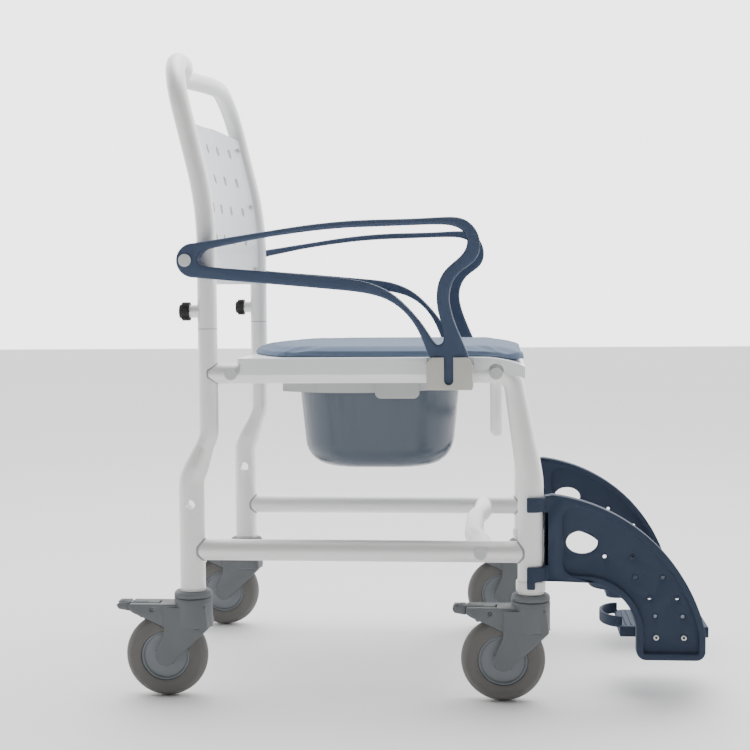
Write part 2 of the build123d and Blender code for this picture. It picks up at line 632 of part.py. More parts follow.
def arm_bracket():
    """The right armrest socket: outer plate with a window, floor, back stop and rail saddle."""
    low_z = TONGUE_Z - BRACKET_FLOOR_T - 1
    plate = block(
        (BRACKET_X0, BRACKET_X1), (-BRACKET_Y - BRACKET_T, -BRACKET_Y), (low_z, BRACKET_TOP_Z)
    )
    plate = chamfer(plate.edges().filter_by(Axis.Y).group_by(Axis.Z)[-1], BRACKET_CORNER)
    slot_low = TONGUE_Z + SLOT_RISE
    window = block(
        (ARM_FOOT_X - BRACKET_SLOT_W / 2, ARM_FOOT_X + BRACKET_SLOT_W / 2),
        (-BRACKET_Y - 10, -BRACKET_Y + 1),
        (slot_low, BRACKET_TOP_Z + 1),
    )
    window += rod((ARM_FOOT_X, -BRACKET_Y - 10, slot_low), (0, 1, 0), BRACKET_SLOT_W / 2, 11)
    floor = block(
        (BRACKET_X0, BRACKET_X1), (-BRACKET_Y, -HALF_TRACK), (low_z, low_z + BRACKET_FLOOR_T)
    )
    stop = block(
        (BRACKET_X0, BRACKET_X0 + BRACKET_STOP_T),
        (-BRACKET_Y, -HALF_TRACK - BRACKET_REST),
        (low_z, BRACKET_TOP_Z - BRACKET_CORNER),
    )
    rail = rod((0, -HALF_TRACK, SEAT_RAIL_Z), (1, 0, 0), SEAT_RAIL_R, FRONT_TOP_X)
    return (plate - window) + floor + (stop - rail) - rail


# ----------------------------------------------------------------------- seat
def seat_curve(offset, nose_x, rear_x):
    """The seat's side line at a height above the seat top: flat, then curving down."""
    z = SEAT_TOP_Z + offset
    flat = Line((rear_x, z), (SEAT_DROP_X, z))
    span = nose_x - SEAT_DROP_X
    middle = (SEAT_DROP_X + 0.55 * span, z - 0.27 * SEAT_NOSE_DROP)
    drop = ThreePointArc((SEAT_DROP_X, z), middle, (nose_x, z - SEAT_NOSE_DROP))
    return flat, drop


def seat_section(low, high, rear_x, nose_x):
    """The face between two offset seat lines."""
    flat_low, drop_low = seat_curve(low, nose_x, rear_x)
    flat_high, drop_high = seat_curve(high, nose_x, rear_x)
    return make_face(Wire([
        flat_low, drop_low, Line(drop_low @ 1, drop_high @ 1), drop_high, flat_high,
        Line(flat_high @ 0, flat_low @ 0),
    ]))


def seat_base():
    """The moulded seat plate with side skirts, commode opening and splash guard."""
    section = seat_section(-SEAT_BASE_T, 0, SEAT_REAR_X, SEAT_NOSE_X)
    plate = side_plate(section, -SKIRT_OUT_Y, SKIRT_OUT_Y)
    corners = plate.edges().filter_by(lambda e: e.length < 1.6 * SEAT_BASE_T)
    plate = fillet(corners.group_by(Axis.X)[0], 6.0)
    bar = front_leg_bar(SEAT_RAIL_R + SKIRT_GAP, LEG_R, -HALF_TRACK)
    plate = plate - bar - mirror(bar, about=Plane.XZ)
    low_z = SEAT_TOP_Z - SKIRT_DEPTH
    gap_x0, gap_x1 = BRACKET_X0 - 1.5, BRACKET_X1 + 1.5
    nose = side_plate(
        seat_section(-2.2 * SEAT_BASE_T, 0, SEAT_REAR_X, SEAT_NOSE_X), -SKIRT_OUT_Y, -SKIRT_IN_Y
    )
    rear = block((SEAT_REAR_X + 5, gap_x0), (-SKIRT_OUT_Y, -SKIRT_IN_Y), (low_z, SEAT_TOP_Z - 1))
    front = nose & block((gap_x1, SEAT_NOSE_X), (-SKIRT_OUT_Y, -SKIRT_IN_Y), (0, SEAT_TOP_Z))
    notch = rod((FRONT_CROSS_X, -SKIRT_OUT_Y - 1, SEAT_RAIL_Z + 3), (0, 1, 0), CAP_R + 2, SKIRT_T + 2)
    right = rear + (front - notch)
    plate = plate + right + mirror(right, about=Plane.XZ)
    room_y = (-SKIRT_OUT_Y - 1, -HALF_TRACK - BRACKET_REST)
    bracket_room = block((gap_x0, gap_x1), room_y, (low_z, SEAT_TOP_Z + 1))
    plate = plate - bracket_room - mirror(bracket_room, about=Plane.XZ)
    hole = Ellipse(OPENING_LX / 2, OPENING_LY / 2)
    rim = Ellipse(OPENING_LX / 2 + GUARD_T, OPENING_LY / 2 + GUARD_T)
    top = Pos(OPENING_X, 0, SEAT_TOP_Z)
    plate = plate + extrude(top * rim, amount=-SEAT_BASE_T - GUARD_DEPTH)
    return plate - extrude(top * hole, amount=-SEAT_BASE_T - GUARD_DEPTH)


def pad_outline():
    """The seat pad's plan: rounded at the rear, with soft front corners."""
    y = PAD_HALF_Y
    rear = ThreePointArc((PAD_SIDE_X, -y), (PAD_REAR_X, 0), (PAD_SIDE_X, y))
    side_l = Line((PAD_SIDE_X, y), (PAD_FRONT_X, y))
    front = Line((PAD_FRONT_X, y), (PAD_FRONT_X, -y))
    side_r = Line((PAD_FRONT_X, -y), (PAD_SIDE_X, -y))
    face = make_face(Wire([rear, side_l, front, side_r]))
    soft = fillet(face.vertices().group_by(Axis.X)[-1], 45)
    return fillet(soft.vertices().filter_by(lambda v: abs(v.X - PAD_SIDE_X) < 1), 40)


def seat_pad():
    """The soft seat pad that lies over the opening."""
    section = seat_section(PAD_GAP, PAD_GAP + PAD_T, PAD_REAR_X - 5, PAD_FRONT_X + 5)
    slab = side_plate(section, -PAD_HALF_Y - 5, PAD_HALF_Y + 5)
    column = extrude(Pos(0, 0, SEAT_TOP_Z - 60) * pad_outline(), amount=120)
    return slab & column


# ------------------------------------------------------------------------ pan
def pan_solid(shrink, rim_z, depth, foot_r):
    """A tapered bucket with rounded corners, shrunk by a wall."""
    plan = RectangleRounded(PAN_LX - 2 * shrink, PAN_LY - 2 * shrink, PAN_CORNER_R - shrink)
    body = extrude(Pos(PAN_X, 0, rim_z) * plan, amount=-depth, taper=PAN_TAPER_DEG)
    return fillet(body.faces().sort_by(Axis.Z)[0].edges(), foot_r)


def pan():
    """The commode pan with its rim flange."""
    outer = pan_solid(0, PAN_RIM_Z, PAN_DEPTH, PAN_FOOT_R)
    inner = pan_solid(PAN_WALL, PAN_RIM_Z, PAN_DEPTH - PAN_WALL, PAN_FOOT_R - PAN_WALL)
    flange = RectangleRounded(
        PAN_LX + 2 * PAN_FLANGE, PAN_LY + 2 * PAN_FLANGE, PAN_CORNER_R + PAN_FLANGE
    )
    rim = extrude(Pos(PAN_X, 0, PAN_RIM_Z) * flange, amount=-PAN_FLANGE_T)
    return (outer + rim) - inner


def pan_slide():
    """The right channel that the pan's flange runs in, with a bowed lower edge."""
    top_z = RAIL_TOP_Z
    low_rear = (SLIDE_X0, SLIDE_LOW_Z)
    low_front = (SLIDE_X1, SLIDE_LOW_Z + SLIDE_FRONT_RISE)
    belly = ((SLIDE_X0 + SLIDE_X1) / 2, SLIDE_LOW_Z - SLIDE_SAG)
    web_face = make_face(Wire([
        ThreePointArc(low_rear, belly, low_front),
        Line(low_front, (SLIDE_X1, top_z)),
        Line((SLIDE_X1, top_z), (SLIDE_X0, top_z)),
        Line((SLIDE_X0, top_z), low_rear),
    ]))
    web = side_plate(web_face, -SLIDE_IN_Y - SLIDE_T, -SLIDE_IN_Y)
    lip_top = PAN_RIM_Z - PAN_FLANGE_T - 0.3
    lip = block(
        (SLIDE_X0, SLIDE_X1), (-SLIDE_IN_Y, -SLIDE_IN_Y + LIP_W - 3), (lip_top - LIP_T, lip_top)
    )
    flange = block(
        (SLIDE_X0, SLIDE_X1), (-SLIDE_IN_Y - 22, -SLIDE_IN_Y - SLIDE_T), (top_z - SLIDE_T, top_z)
    )
    return web + lip + flange


def pan_latch():
    """The right finger tab under the slide, which clips over its lower edge."""
    y_out = -SLIDE_IN_Y - SLIDE_T
    low_z = SLIDE_LOW_Z - SLIDE_SAG - LATCH_DROP
    tab = block(
        (LATCH_X - LATCH_L / 2, LATCH_X + LATCH_L / 2), (y_out - LATCH_T, y_out), (low_z, low_z + 40)
    )
    return fillet(tab.edges().filter_by(Axis.Y).group_by(Axis.Z)[0], 9)


# -------------------------------------------------------------------- casters
def at_caster(foot_x, side):
    """The place of a caster: its stem axis on the floor."""
    return Pos(foot_x, -HALF_TRACK if side == "right" else HALF_TRACK, 0)


def stem():
    """A caster stem: plug in the tube, flange under its end and pin into the housing."""
    plug = rod((0, 0, TUBE_END_Z), (0, 0, 1), LEG_R - WALL, 40)
    flange = rod((0, 0, COLLAR_TOP_Z), (0, 0, 1), RING_R, RING_T)
    pin = rod((0, 0, HOUSING_TOP_Z - 16), (0, 0, 1), SWIVEL_R, COLLAR_TOP_Z - HOUSING_TOP_Z + 16)
    return plug + flange + pin


def stem_cap():
    """The rounded collar between the stem's flange and the housing."""
    low = HOUSING_TOP_Z + 1
    cap = rod((0, 0, low), (0, 0, 1), HOUSING_R, COLLAR_TOP_Z - low)
    cap = fillet(cap.edges().group_by(Axis.Z)[-1], 5.5)
    return cap - rod((0, 0, low), (0, 0, 1), SWIVEL_R, COLLAR_TOP_Z - low)


def fork():
    """The swivel housing: round head, two cheeks down to the axle and a rear hood."""
    axle_x, axle_z = -TRAIL, WHEEL_R
    inside = TYRE_W / 2 + 2
    outside = inside + CHEEK_T
    head = rod((0, 0, HOUSING_LOW_Z), (0, 0, 1), HOUSING_R, HOUSING_TOP_Z - HOUSING_LOW_Z)
    knee = (HOUSING_R - 2, HOUSING_LOW_Z)
    cheek = make_face(Polyline(
        (axle_x, HOUSING_TOP_Z - 12), (HOUSING_R - 6, HOUSING_TOP_Z - 12), knee,
        (axle_x + FORK_END_R * 0.75, axle_z - FORK_END_R * 0.7),
        (axle_x - FORK_END_R * 0.85, axle_z + FORK_END_R * 0.55), (axle_x, axle_z + 36), close=True,
    ))
    cheeks = side_plate(cheek, -outside, outside)
    cheeks += rod((axle_x, -outside, axle_z), (0, 1, 0), FORK_END_R, 2 * outside)
    hood_face = make_face(Polyline(
        (HOOD_REAR_X, HOOD_TOP_Z), (0, HOOD_TOP_Z), (0, HOUSING_LOW_Z + 4), (axle_x, HOUSING_LOW_Z),
        (axle_x - 30, HOUSING_LOW_Z + 14), (HOOD_REAR_X + 6, HOUSING_LOW_Z + 22),
        (HOOD_REAR_X, HOUSING_LOW_Z + 26), close=True,
    ))
    hood = side_plate(hood_face, -HOOD_HALF_W - 1, HOOD_HALF_W + 1)
    body = head + cheeks + hood
    body -= rod((axle_x, -inside, axle_z), (0, 1, 0), WHEEL_R + WHEEL_GAP, 2 * inside)
    body -= block((axle_x - 40, HOUSING_R), (-inside, inside), (0, axle_z))
    slot_w = PEDAL_HALF_W + 0.5
    body -= block((HOOD_REAR_X - 5, PEDAL_PIVOT_X + 10), (-slot_w, slot_w), (90, HOOD_TOP_Z + 5))
    body -= rod((PEDAL_PIVOT_X, -30, PEDAL_PIVOT_Z), (0, 1, 0), PEDAL_PIN_R + RUN_GAP, 60)
    body -= rod((0, 0, HOUSING_TOP_Z - 18), (0, 0, 1), SWIVEL_R + RUN_GAP, 30)
    bore_half = outside - AXLE_COVER
    return body - rod((axle_x, -bore_half, axle_z), (0, 1, 0), AXLE_R, 2 * bore_half)


def pedal():
    """The brake pedal: ribbed tip, lever, brake shoe over the tyre and pivot pin."""
    top = HOOD_TOP_Z + 0.5
    lever_face = make_face(Polyline(
        (PEDAL_TIP_X + 18, top), (PEDAL_PIVOT_X + 8, top), (PEDAL_PIVOT_X + 8, PEDAL_PIVOT_Z - 4),
        (PEDAL_PIVOT_X - 7, PEDAL_PIVOT_Z - 4), (PEDAL_PIVOT_X - 9, 120), (PEDAL_PIVOT_X - 20, 118.5),
        (PEDAL_PIVOT_X - 25, 127), (PEDAL_TIP_X + 18, 131), close=True,
    ))
    lever = side_plate(lever_face, -PEDAL_HALF_W, PEDAL_HALF_W)
    tip_face = make_face(Polyline(
        (PEDAL_TIP_X, 139), (PEDAL_TIP_X + 4, top), (PEDAL_TIP_X + 20, top + 1),
        (PEDAL_TIP_X + 20, 130), (PEDAL_TIP_X + 3, 133), close=True,
    ))
    tip = side_plate(tip_face, -PEDAL_TIP_HALF_W, PEDAL_TIP_HALF_W)
    pin = rod((PEDAL_PIVOT_X, -HOOD_HALF_W, PEDAL_PIVOT_Z), (0, 1, 0), PEDAL_PIN_R, 2 * HOOD_HALF_W)
    return lever + tip + pin


def wheel_axle():
    """The wheel axle, which ends inside the two cheeks."""
    reach = TYRE_W / 2 + 2 + CHEEK_T - AXLE_COVER
    return rod((-TRAIL, -reach, WHEEL_R), (0, 1, 0), AXLE_R, 2 * reach)


def wheel_core():
    """The wheel's moulded core, dished on both faces."""
    half = CORE_W / 2
    face = make_face(Polyline(
        (AXLE_R + RUN_GAP, -half - 1), (12, -half - 1), (14, -half + 2), (CORE_R - 5, -half + 3),
        (CORE_R - 3, -half), (CORE_R, -half), (CORE_R, half), (CORE_R - 3, half),
        (CORE_R - 5, half - 3), (14, half - 2), (12, half + 1), (AXLE_R + RUN_GAP, half + 1), close=True,
    ))
    turned = revolve(face, axis=Axis.Y)
    return Pos(-TRAIL, 0, WHEEL_R) * turned


def tyre():
    """The rubber tyre with rounded shoulders."""
    half = TYRE_W / 2
    shoulder = WHEEL_R - TREAD_R * 0.62
    crown = ThreePointArc((shoulder, -half), (WHEEL_R, 0), (shoulder, half))
    face = make_face(Wire([
        Line((CORE_R, -half), (shoulder, -half)), crown,
        Line((shoulder, half), (CORE_R, half)), Line((CORE_R, half), (CORE_R, -half)),
    ]))
    return Pos(-TRAIL, 0, WHEEL_R) * revolve(face, axis=Axis.Y)


# ------------------------------------------------------------------ footrests
def latch_ring():
    """The ring on the foot of a front leg, under the hanger's lower clip."""
    ring = rod((0, 0, TUBE_END_Z), (0, 0, 1), LATCH_RING_R, LATCH_RING_H)
    ring = chamfer(ring.edges(), 1.0)
    return ring - rod((0, 0, TUBE_END_Z), (0, 0, 1), LEG_R, LATCH_RING_H)


def clip(low_z):
    """One open clip around the front leg."""
    y = -HALF_TRACK
    ring = rod((FRONT_FOOT_X, y, low_z), (0, 0, 1), CLIP_R, CLIP_H)
    arm = block(
        (FRONT_FOOT_X, FRONT_FOOT_X + LEG_R + 12), (y - HANGER_T / 2, y + HANGER_T / 2),
        (low_z, low_z + CLIP_H),
    )
    ring = ring + arm - rod((FRONT_FOOT_X, y, low_z), (0, 0, 1), LEG_R + CLIP_GAP, CLIP_H)
    mouth = block(
        (FRONT_FOOT_X - 60, FRONT_FOOT_X - CLIP_BACK), (y - 60, y + 60), (low_z - 1, low_z + CLIP_H + 1)
    )
    return ring - mouth


def hanger_face():
    """The hanger's side view: a broad arm that curves forward and down."""
    edge_x = FRONT_FOOT_X + LEG_R + HANGER_GAP
    low_z = TUBE_END_Z + LATCH_RING_H + 1
    top_arc = ThreePointArc((edge_x + 12, CLIP_TOP_Z + 3), (651, 246), (HANGER_FRONT_X, 105))
    under_arc = ThreePointArc((560, 179), (608, 160), (HANGER_BACK_X, 113))
    return make_face(Wire([
        Line((edge_x, CLIP_TOP_Z), (edge_x + 12, CLIP_TOP_Z + 3)), top_arc,
        Line((HANGER_FRONT_X, 105), (HANGER_FRONT_X, HANGER_LOW_Z)),
        Line((HANGER_FRONT_X, HANGER_LOW_Z), (HANGER_BACK_X, HANGER_LOW_Z)),
        Line((HANGER_BACK_X, HANGER_LOW_Z), (HANGER_BACK_X, 113)), under_arc,
        Line((560, 179), (edge_x, low_z)), Line((edge_x, low_z), (edge_x, CLIP_TOP_Z)),
    ]))


def hanger():
    """The right footrest hanger: ribbed plate, two clips, safety tab and height holes."""
    y = -HALF_TRACK
    face = hanger_face()
    face = fillet(face.vertices().group_by(Axis.Y)[0], HANGER_CORNER_R)
    plate = side_plate(face, y - HANGER_T / 2, y + HANGER_T / 2)
    pocket_face = offset(face, -POCKET_MARGIN) & (Pos(POCKET_X0 + 300, 200) * Rectangle(600, 400))
    pocket_face = fillet(pocket_face.vertices().group_by(Axis.X)[0], POCKET_CORNER_R)
    for side in (-1, 1):
        outer = y + side * HANGER_T / 2
        inner = y + side * (HANGER_T / 2 - POCKET_DEPTH)
        plate -= side_plate(pocket_face, min(outer, inner), max(outer, inner))
    low_clip_z = TUBE_END_Z + LATCH_RING_H + 1
    whole = plate + clip(low_clip_z) + clip(CLIP_TOP_Z - CLIP_H)
    tab = rod((FRONT_FOOT_X, y, low_clip_z - 11), (0, 0, 1), CLIP_R, 12)
    tab -= rod((FRONT_FOOT_X, y, low_clip_z - 11), (0, 0, 1), LATCH_RING_R + 0.4, 12)
    tab &= block((FRONT_FOOT_X - CLIP_BACK, FRONT_FOOT_X + 6), (y - 40, y), (0, 400))
    whole = whole + tab
    x, z, rx, rz = WINDOW
    whole -= side_plate(Pos(x, z) * Ellipse(rx, rz), y - 20, y + 20)
    for x, z in HEIGHT_SETTINGS:
        for hole_x in (x, x + HOLE_PAIR):
            whole -= rod((hole_x, y - 20, z), (0, 1, 0), HANGER_HOLE_R, 40)
    return whole


def hinge_line():
    """Y and Z of the right footplate's fold axis."""
    return -HALF_TRACK + HANGER_T / 2 + HINGE_Y_IN, PLATE_TOP_Z - PLATE_T / 2


def footplate_bracket():
    """The right footplate's carrier on the hanger: side block, two knuckles and hinge pin."""
    inner_y = -HALF_TRACK + HANGER_T / 2
    hinge_y, hinge_z = hinge_line()
    x, z = HEIGHT_SETTINGS[0]
    x0, x1 = x - 12, x + HOLE_PAIR + 12
    body = block((x0, x1), (inner_y, inner_y + SIDE_BLOCK_T), (hinge_z - 14, hinge_z + 14))
    body = fillet(body.edges().filter_by(Axis.Y), 4)
    for end_x in (x0, x1 - 10):
        knuckle = rod((end_x, hinge_y, hinge_z), (1, 0, 0), HINGE_R + 2.2, 10)
        knuckle += block((end_x, end_x + 10), (inner_y, hinge_y), (hinge_z - 5, hinge_z + 5))
        body = body + knuckle
    body = body + rod((x0, hinge_y, hinge_z), (1, 0, 0), HINGE_R, x1 - x0)
    for hole_x in (x, x + HOLE_PAIR):
        body -= rod((hole_x, inner_y - 1, z), (0, 1, 0), HANGER_HOLE_R, 6)
    return body


def footplate():
    """The right footplate with its hinge barrel and heel loop."""
    hinge_y, hinge_z = hinge_line()
    x, z = HEIGHT_SETTINGS[0]
    barrel_x0, barrel_x1 = x - 12 + 10.5, x + HOLE_PAIR + 12 - 10.5
    y0, y1 = hinge_y + KNUCKLE_R - 1, hinge_y + PLATE_DEPTH_Y
    slab = block((PLATE_X0, PLATE_X1), (y0, y1), (PLATE_TOP_Z - PLATE_T, PLATE_TOP_Z))
    slab = fillet(slab.edges().filter_by(Axis.Z).group_by(Axis.Y)[-1], PLATE_CORNER_R)
    barrel = rod((barrel_x0, hinge_y, hinge_z), (1, 0, 0), PLATE_T / 2, barrel_x1 - barrel_x0)
    barrel += block(
        (barrel_x0, barrel_x1), (hinge_y, y0 + 1), (hinge_z - PLATE_T / 2, hinge_z + PLATE_T / 2)
    )
    half = (y1 - y0) / 2 - 8
    middle = (y0 + y1) / 2
    outer = Ellipse(LOOP_REACH, half)
    inner = Ellipse(LOOP_REACH - LOOP_T, half - LOOP_T)
    loop = extrude(Pos(PLATE_X0 + 4, middle, PLATE_TOP_Z - 4) * (outer - inner), amount=LOOP_H)
    loop = loop & block((PLATE_X0 - 100, PLATE_X0 + 4), (y0, y1), (0, 400))
    whole = slab + barrel + loop
    return whole - rod((barrel_x0, hinge_y, hinge_z), (1, 0, 0), HINGE_R + RUN_GAP, barrel_x1 - barrel_x0)


def footplate_screws():
    """The two socket screws that hold the right footplate's bracket."""
    outer_y = -HALF_TRACK - HANGER_T / 2 + POCKET_DEPTH
    inner_y = -HALF_TRACK + HANGER_T / 2 + SIDE_BLOCK_T
    x, z = HEIGHT_SETTINGS[0]
    screws = []
    for hole_x in (x, x + HOLE_PAIR):
        shank = rod((hole_x, outer_y, z), (0, 1, 0), HANGER_HOLE_R, inner_y - outer_y)
        head = rod((hole_x, outer_y - SCREW_HEAD_T, z), (0, 1, 0), SCREW_HEAD_R, SCREW_HEAD_T)
        screws.append(head + shank)
    return Compound(screws)


# --------------------------------------------------------------------- build
def build():
    """Makes every sub-part in the working frame, by node name."""
    made = {}
    frame = side_frame()
    arm, bracket = armrest(), arm_bracket()
    slide, latch = pan_slide(), pan_latch()
    knob = clamp_knob()
    foot = {
        "footrest_hanger": hanger(),
        "footplate_bracket": footplate_bracket(),
        "footplate": footplate(),
        "footplate_screws": footplate_screws(),
    }
    for side in ("right", "left"):
        for name, shape in frame.items():
            made[f"{name}_{side}"] = to_side(shape, side)
        for name, shape in foot.items():
            made[f"{name}_{side}"] = to_side(shape, side)
        made[f"armrest_{side}"] = to_side(arm, side)
        made[f"arm_bracket_{side}"] = to_side(bracket, side)
        made[f"clamp_knob_{side}"] = to_side(knob, side)
        made[f"pan_slide_{side}"] = to_side(slide, side)
    made["pan_latches"] = Compound([latch, mirror(latch, about=Plane.XZ)])
    made.update(cross_tubes())
    made.update(frame_bolts())
    tube, tube_outline = hoop()
    made["backrest_hoop"] = tube
    made["back_panel"] = back_panel(tube_outline)
    made["panel_pins"] = panel_pins()
    made["pivot_bolts"] = pivot_bolts()
    made["seat_base"] = seat_base()
    made["seat_pad"] = seat_pad()
    made["commode_pan"] = pan()
    pieces = {
        "fork": fork(), "pedal": pedal(), "axle": wheel_axle(), "core": wheel_core(), "tyre": tyre(),
    }
    stems, caps, rings = [], [], []
    for end, foot_x in (("rear", REAR_FOOT_X), ("front", FRONT_FOOT_X)):
        for side in ("right", "left"):
            place = at_caster(foot_x, side)
            stems.append(place * stem())
            caps.append(place * stem_cap())
            if end == "front":
                rings.append(place * latch_ring())
            for name, shape in pieces.items():
                made[f"caster_{name}_{end}_{side}"] = place * shape
    made["caster_stems"] = Compound(stems)
    made["caster_caps"] = Compound(caps)
    made["latch_rings"] = Compound(rings)
    return made


def centre_shift(made):
    """How far the working frame moves along X to put the overall box's middle at 0."""
    boxes = [shape.bounding_box() for shape in made.values()]
    return -(min(b.min.X for b in boxes) + max(b.max.X for b in boxes)) / 2


def main():
    """Writes one STEP file per sub-part."""
    made = build()
    shift = centre_shift(made)
    os.makedirs("parts", exist_ok=True)
    for name, shape in made.items():
        export_step(Pos(shift, 0, 0) * shape, f"parts/{name}.step")
    print("nodes", len(made), "shift", round(shift, 3))


if __name__ == "__main__":
    main()
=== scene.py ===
"""Looks for the wheeled commode chair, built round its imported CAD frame.

Everything is in metres in the row frame: +X forward, +Y to the sitter's left, +Z up.
"""

from __future__ import annotations

import json
import logging
import math
from dataclasses import dataclass
from enum import Enum

import bpy
from mathutils import Matrix, Vector
from mathutils.bvhtree import BVHTree

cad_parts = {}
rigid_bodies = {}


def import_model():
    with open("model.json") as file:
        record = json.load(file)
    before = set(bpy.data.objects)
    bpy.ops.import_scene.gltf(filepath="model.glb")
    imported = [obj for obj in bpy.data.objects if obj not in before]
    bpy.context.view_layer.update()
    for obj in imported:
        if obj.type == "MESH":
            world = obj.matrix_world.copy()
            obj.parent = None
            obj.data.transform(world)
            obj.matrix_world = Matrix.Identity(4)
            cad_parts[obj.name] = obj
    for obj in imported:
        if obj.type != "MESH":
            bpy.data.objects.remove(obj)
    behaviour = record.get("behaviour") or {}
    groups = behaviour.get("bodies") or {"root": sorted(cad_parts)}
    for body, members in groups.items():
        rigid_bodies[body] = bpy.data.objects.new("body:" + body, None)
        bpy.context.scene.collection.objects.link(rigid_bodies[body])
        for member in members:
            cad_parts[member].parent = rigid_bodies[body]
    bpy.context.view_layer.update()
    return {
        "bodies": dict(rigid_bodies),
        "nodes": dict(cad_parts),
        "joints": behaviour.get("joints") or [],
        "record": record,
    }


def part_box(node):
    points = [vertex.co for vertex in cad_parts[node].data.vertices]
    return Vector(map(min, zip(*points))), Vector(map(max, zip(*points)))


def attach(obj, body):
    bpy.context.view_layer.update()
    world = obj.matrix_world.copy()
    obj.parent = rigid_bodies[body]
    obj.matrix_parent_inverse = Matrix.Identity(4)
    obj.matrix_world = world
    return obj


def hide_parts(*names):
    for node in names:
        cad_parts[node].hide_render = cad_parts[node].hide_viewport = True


LOG = logging.getLogger("commode_chair")
SIDES = ("right", "left")
ENDS = ("rear", "front")
MM = 0.001

Colour = tuple[float, float, float]


class Axis(Enum):
    """The row axes, as unit vectors."""

    X = (1.0, 0.0, 0.0)
    Y = (0.0, 1.0, 0.0)
    Z = (0.0, 0.0, 1.0)

    @property
    def vector(self) -> Vector:
        """The axis as a vector."""
        return Vector(self.value)


# ------------------------------------------------------------------- finishes
class NodeBoard:
    """A small helper that lays out shader nodes for one material."""

    def __init__(self, name: str) -> None:
        """Starts an empty material with a principled shader.

        Args:
            name: the material's name.
        """
        self.material = bpy.data.materials.new(name)
        self.material.use_nodes = True
        self.nodes = self.material.node_tree.nodes
        self.links = self.material.node_tree.links
        self.nodes.clear()
        self.output = self.nodes.new("ShaderNodeOutputMaterial")
        self.shader = self.nodes.new("ShaderNodeBsdfPrincipled")
        self.links.new(self.shader.outputs["BSDF"], self.output.inputs["Surface"])
        self.place = self.nodes.new("ShaderNodeTexCoord").outputs["Object"]

    def noise(self, scale: float, detail: float = 3.0, rough: float = 0.5) -> bpy.types.NodeSocket:
        """A noise value over the piece.

        Args:
            scale: cycles per metre.
            detail: octaves of finer noise.
            rough: how strong the finer octaves are.

        Returns:
            The socket with the noise value.
        """
        node = self.nodes.new("ShaderNodeTexNoise")
        node.inputs["Scale"].default_value = scale
        node.inputs["Detail"].default_value = detail
        node.inputs["Roughness"].default_value = rough
        self.links.new(self.place, node.inputs["Vector"])
        return node.outputs["Fac"]

    def cells(self, scale: float, feature: str = "F1") -> bpy.types.NodeSocket:
        """A cell distance over the piece.

        Args:
            scale: cells per metre.
            feature: which distance the cells give.

        Returns:
            The socket with the distance.
        """
        node = self.nodes.new("ShaderNodeTexVoronoi")
        node.feature = feature
        node.inputs["Scale"].default_value = scale
        self.links.new(self.place, node.inputs["Vector"])
        return node.outputs["Distance"]

    def marked(self, name: str) -> bpy.types.NodeSocket:
        """A value that the piece's own mesh carries.

        Args:
            name: the mesh attribute's name.

        Returns:
            The socket with the value.
        """
        node = self.nodes.new("ShaderNodeAttribute")
        node.attribute_name = name
        return node.outputs["Fac"]

    def span(self, value: bpy.types.NodeSocket, low: float, high: float,
             out_low: float = 0.0, out_high: float = 1.0) -> bpy.types.NodeSocket:
        """Maps a value from one range to another, clamped.

        Args:
            value: the socket to map.
            low: input that gives out_low.
            high: input that gives out_high.
            out_low: lowest result.
            out_high: highest result.

        Returns:
            The socket with the mapped value.
        """
        node = self.nodes.new("ShaderNodeMapRange")
        node.inputs["From Min"].default_value = low
        node.inputs["From Max"].default_value = high
        node.inputs["To Min"].default_value = out_low
        node.inputs["To Max"].default_value = out_high
        self.links.new(value, node.inputs["Value"])
        return node.outputs["Result"]

    def blend(self, factor: bpy.types.NodeSocket, first: Colour | bpy.types.NodeSocket,
              second: Colour | bpy.types.NodeSocket) -> bpy.types.NodeSocket:
        """Mixes two colours by a value.

        Args:
            factor: 0 gives the first colour and 1 the second.
            first: a colour or a colour socket.
            second: a colour or a colour socket.

        Returns:
            The socket with the mixed colour.
        """
        node = self.nodes.new("ShaderNodeMix")
        node.data_type = "RGBA"
        self.links.new(factor, node.inputs["Factor"])
        for socket, colour in ((node.inputs[6], first), (node.inputs[7], second)):
            if isinstance(colour, tuple):
                socket.default_value = (*colour, 1.0)
            else:
                self.links.new(colour, socket)
        return node.outputs[2]

    def bump(self, height: bpy.types.NodeSocket, depth: float, strength: float = 1.0,
             under: bpy.types.NodeSocket | None = None) -> bpy.types.NodeSocket:
        """A bump from a height value.

        Args:
            height: the socket with the height.
            depth: metres between height 0 and 1.
            strength: how much of the bump shows.
            under: the normal of a coarser bump, if any.

        Returns:
            The socket with the normal.
        """
        node = self.nodes.new("ShaderNodeBump")
        node.inputs["Distance"].default_value = depth
        node.inputs["Strength"].default_value = strength
        self.links.new(height, node.inputs["Height"])
        if under is not None:
            self.links.new(under, node.inputs["Normal"])
        return node.outputs["Normal"]

    def wire(self, socket: bpy.types.NodeSocket, target: str) -> None:
        """Links a value to one of the shader's inputs."""
        self.links.new(socket, self.shader.inputs[target])

    def fixed(self, **values: float) -> None:
        """Sets plain values on the shader's own sockets, by input name with spaces as underscores."""
        for key, value in values.items():
            self.shader.inputs[key.replace("_", " ")].default_value = value


@dataclass(frozen=True)
class Finish:
    """A finish that is made once and then shared."""

    name: str
    colour: Colour

    def material(self) -> bpy.types.Material:
        """The finish's material, made at first use."""
        found = bpy.data.materials.get(self.name)
        return found if found else self.build(NodeBoard(self.name))

    def build(self, board: NodeBoard) -> bpy.types.Material:
        """Lays out the finish's nodes on a board and returns the material."""
        raise NotImplementedError


